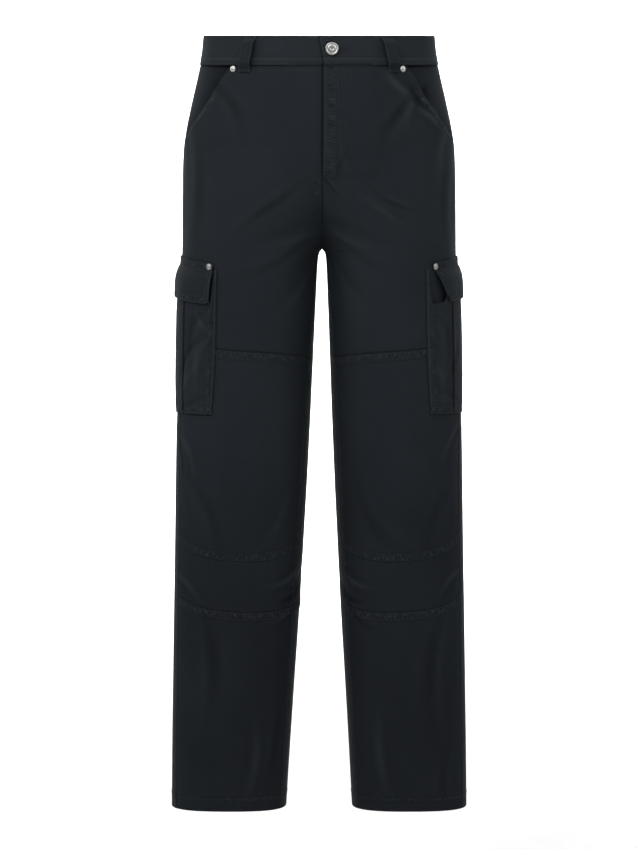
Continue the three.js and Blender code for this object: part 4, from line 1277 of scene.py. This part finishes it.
def sewCargo(side, suffix):
    half = pocket["halfWidth"] - 2.6
    row = np.linspace(-333, pocket["bottom"] + 3, 260)
    for across in (-half, half):
        angle, level = pocketPlace(side, np.full_like(row, across), row)
        points, normals = offSkin(side, angle, level, pocketProfile(side, np.full_like(row, across), row))
        addStitches(f"cargo_{suffix}", points, normals)
    across = np.linspace(-half, half, 260)
    for at in (pocket["bottom"] + 3.0, pocket["top"] - 16.0):
        angle, level = pocketPlace(side, across, np.full_like(across, at))
        points, normals = offSkin(side, angle, level, pocketProfile(side, across, np.full_like(across, at)))
        addStitches(f"cargo_{suffix}", points, normals)
    # flap: two rows round its edges and two along its top
    for inside in (2.4, 8.0):
        w, d = 1 - inside / flap["halfWidth"], flap["depth"] - inside
        u = np.concatenate([np.full(60, -w), np.linspace(-w, w, 240), np.full(60, w)])
        down = np.concatenate([np.linspace(3, d, 60), np.full(240, d), np.linspace(d, 3, 60)])
        sewFlap(side, suffix, u, down)
    for down in (2.6, 9.0):
        sewFlap(side, suffix, np.linspace(-0.97, 0.97, 240), np.full(240, down))


def sewFlap(side, suffix, u, down):
    across, level = flapPlace(side, u, down)
    lift, rounding, relief = flapLift(side, u, across, down)
    points, normals = offSkin(side, pocket["centre"][side] - across / 1.6, level, lift + relief)
    addStitches(f"flap_{suffix}", points, normals)


def sewLoops():
    for name, side, head, foot in loopPlaces:
        v = np.linspace(0.03, 0.97, 120)
        level = mix(loop["top"], loop["bottom"], v)
        perDegree = 1.95 if (head > 60 or head < -50) else 2.2
        for across in (-3.9, 3.9):
            angle = mix(head, foot, v) + across / perDegree
            points, normals = offSkin(side, angle, level, loopLift(v, level) - 0.05)
            addStitches("loops", points, normals, pitch=2.9, length=2.2, radius=0.26)
        for v0 in (0.035, 0.965):  # dense bars at both ends
            turn = np.linspace(-4.6, 4.6, 40) / perDegree
            level = mix(loop["top"], loop["bottom"], v0) + 0 * turn
            for extra in (-0.7, 0, 0.7):
                angle = mix(head, foot, v0) + turn
                points, normals = offSkin(side, angle, level + extra, loopLift(v0 + 0 * turn, level))
                addStitches("loops", points, normals, pitch=1.3, length=1.5, radius=0.3)


# Dense bars where a seam takes the strain, and the buttonhole's edge
def sewBars():
    for side in (1, -1):
        for extra in np.arange(-0.9, 1.0, 0.6):
            turn = np.linspace(-4.5, 4.5, 40) / 1.75
            rowOnCloth("bars", side, turn - 6.8, body["mouthEnd"] + 3 + extra, pitch=1.2, length=1.4)
    for fromMiddle, level, lean in ((35.5, -163, 1), (6, -187, 0)):
        for extra in np.arange(-0.9, 1.0, 0.6):
            t = np.linspace(-4.5, 4.5, 40)
            levels = level + t * lean + extra * (1 - lean)
            angle = frontAngle(1, levels, fromMiddle + t * (1 - lean) + extra * lean)
            rowOnCloth("bars", 1, angle, levels, flyLift(1, angle, levels), pitch=1.2, length=1.4)
    # the buttonhole: a narrow ring of stitches across the band, its bar beyond it
    half = ringAt(1, np.array(button["level"]))[1]
    centre = 26.5
    power = curves["round"](button["level"]) / 2
    holeAngle = lambda x: -np.degrees(np.arccos(((x - body["middleShift"]) / half) ** power))
    t = np.linspace(0, 2 * np.pi, 120)
    x = centre + 9.5 * np.cos(t)
    level = -19.5 + 2.0 * np.sin(t)
    points, normals = offSkin(1, holeAngle(x), level, np.full(120, body["bandProud"] + 0.1))
    addStitches("bars", points, normals, pitch=0.9, length=1.2, radius=0.36)
    x = np.full(30, centre + 11.5)
    points, normals = offSkin(1, holeAngle(x), np.linspace(-15, -24, 30), np.full(30, body["bandProud"] + 0.1))
    addStitches("bars", points, normals, pitch=1.1, length=1.4, radius=0.4)


for side, suffix in ((1, "left"), (-1, "right")):
    sewHalf(side, suffix)
    sewCargo(side, suffix)
sewFly()
sewSeat()
sewBand()
sewLoops()
sewBars()
makeThreads()
print("stitches made")


# ---- floor and light ----
def makeStudio():
    base = body["hem"] * 0.001 - studio["floorDrop"]
    across = np.linspace(-9, 9, 3)
    bendAt = studio["wallAt"] - 1.2
    run = np.concatenate([np.linspace(-7, bendAt, 12), bendAt + 1.2 * np.sin(np.linspace(0.1, np.pi / 2, 16)),
                          np.full(6, studio["wallAt"])])
    rise = np.concatenate([np.zeros(12), 1.2 * (1 - np.cos(np.linspace(0.1, np.pi / 2, 16))),
                           np.linspace(1.6, 6, 6)])
    r, x = np.meshgrid(np.arange(len(run)), across, indexing="ij")
    points = np.stack([x, run[r], base + rise[r]], -1).reshape(-1, 3)
    mesh = bpy.data.meshes.new("floor")
    mesh.from_pydata(points.tolist(), [], gridFaces(len(run), 3).tolist())
    mesh.polygons.foreach_set("use_smooth", np.ones(len(mesh.polygons), bool))
    material, tree = newMaterial("paper")
    place = addNode(tree, "ShaderNodeTexCoord", out=3)
    grain = addNoise(tree, place, 30)
    colour = mixColour(tree, grain, (0.86, 0.86, 0.86, 1), (0.9, 0.9, 0.9, 1))
    finishMaterial(tree, {"Base Color": colour, "Roughness": 0.9})
    mesh.materials.append(material)
    floor = bpy.data.objects.new("floor", mesh)
    bpy.context.scene.collection.objects.link(floor)
    for name in ("key", "fill", "leftRim", "rightRim", "rearLeft", "rearRight"):
        makeLight(name, studio[name])
    for name in ("wallLeft", "wallRight"):
        makeLight(name, studio[name], (0, studio["wallAt"], -0.5))
    world = bpy.data.worlds.new("air")
    world.use_nodes = True
    world.node_tree.nodes["Background"].inputs[0].default_value = (1, 1, 1, 1)
    world.node_tree.nodes["Background"].inputs[1].default_value = studio["air"]
    bpy.context.scene.world = world
    bpy.context.scene.view_settings.view_transform = "Standard"


makeStudio()
print("studio made")
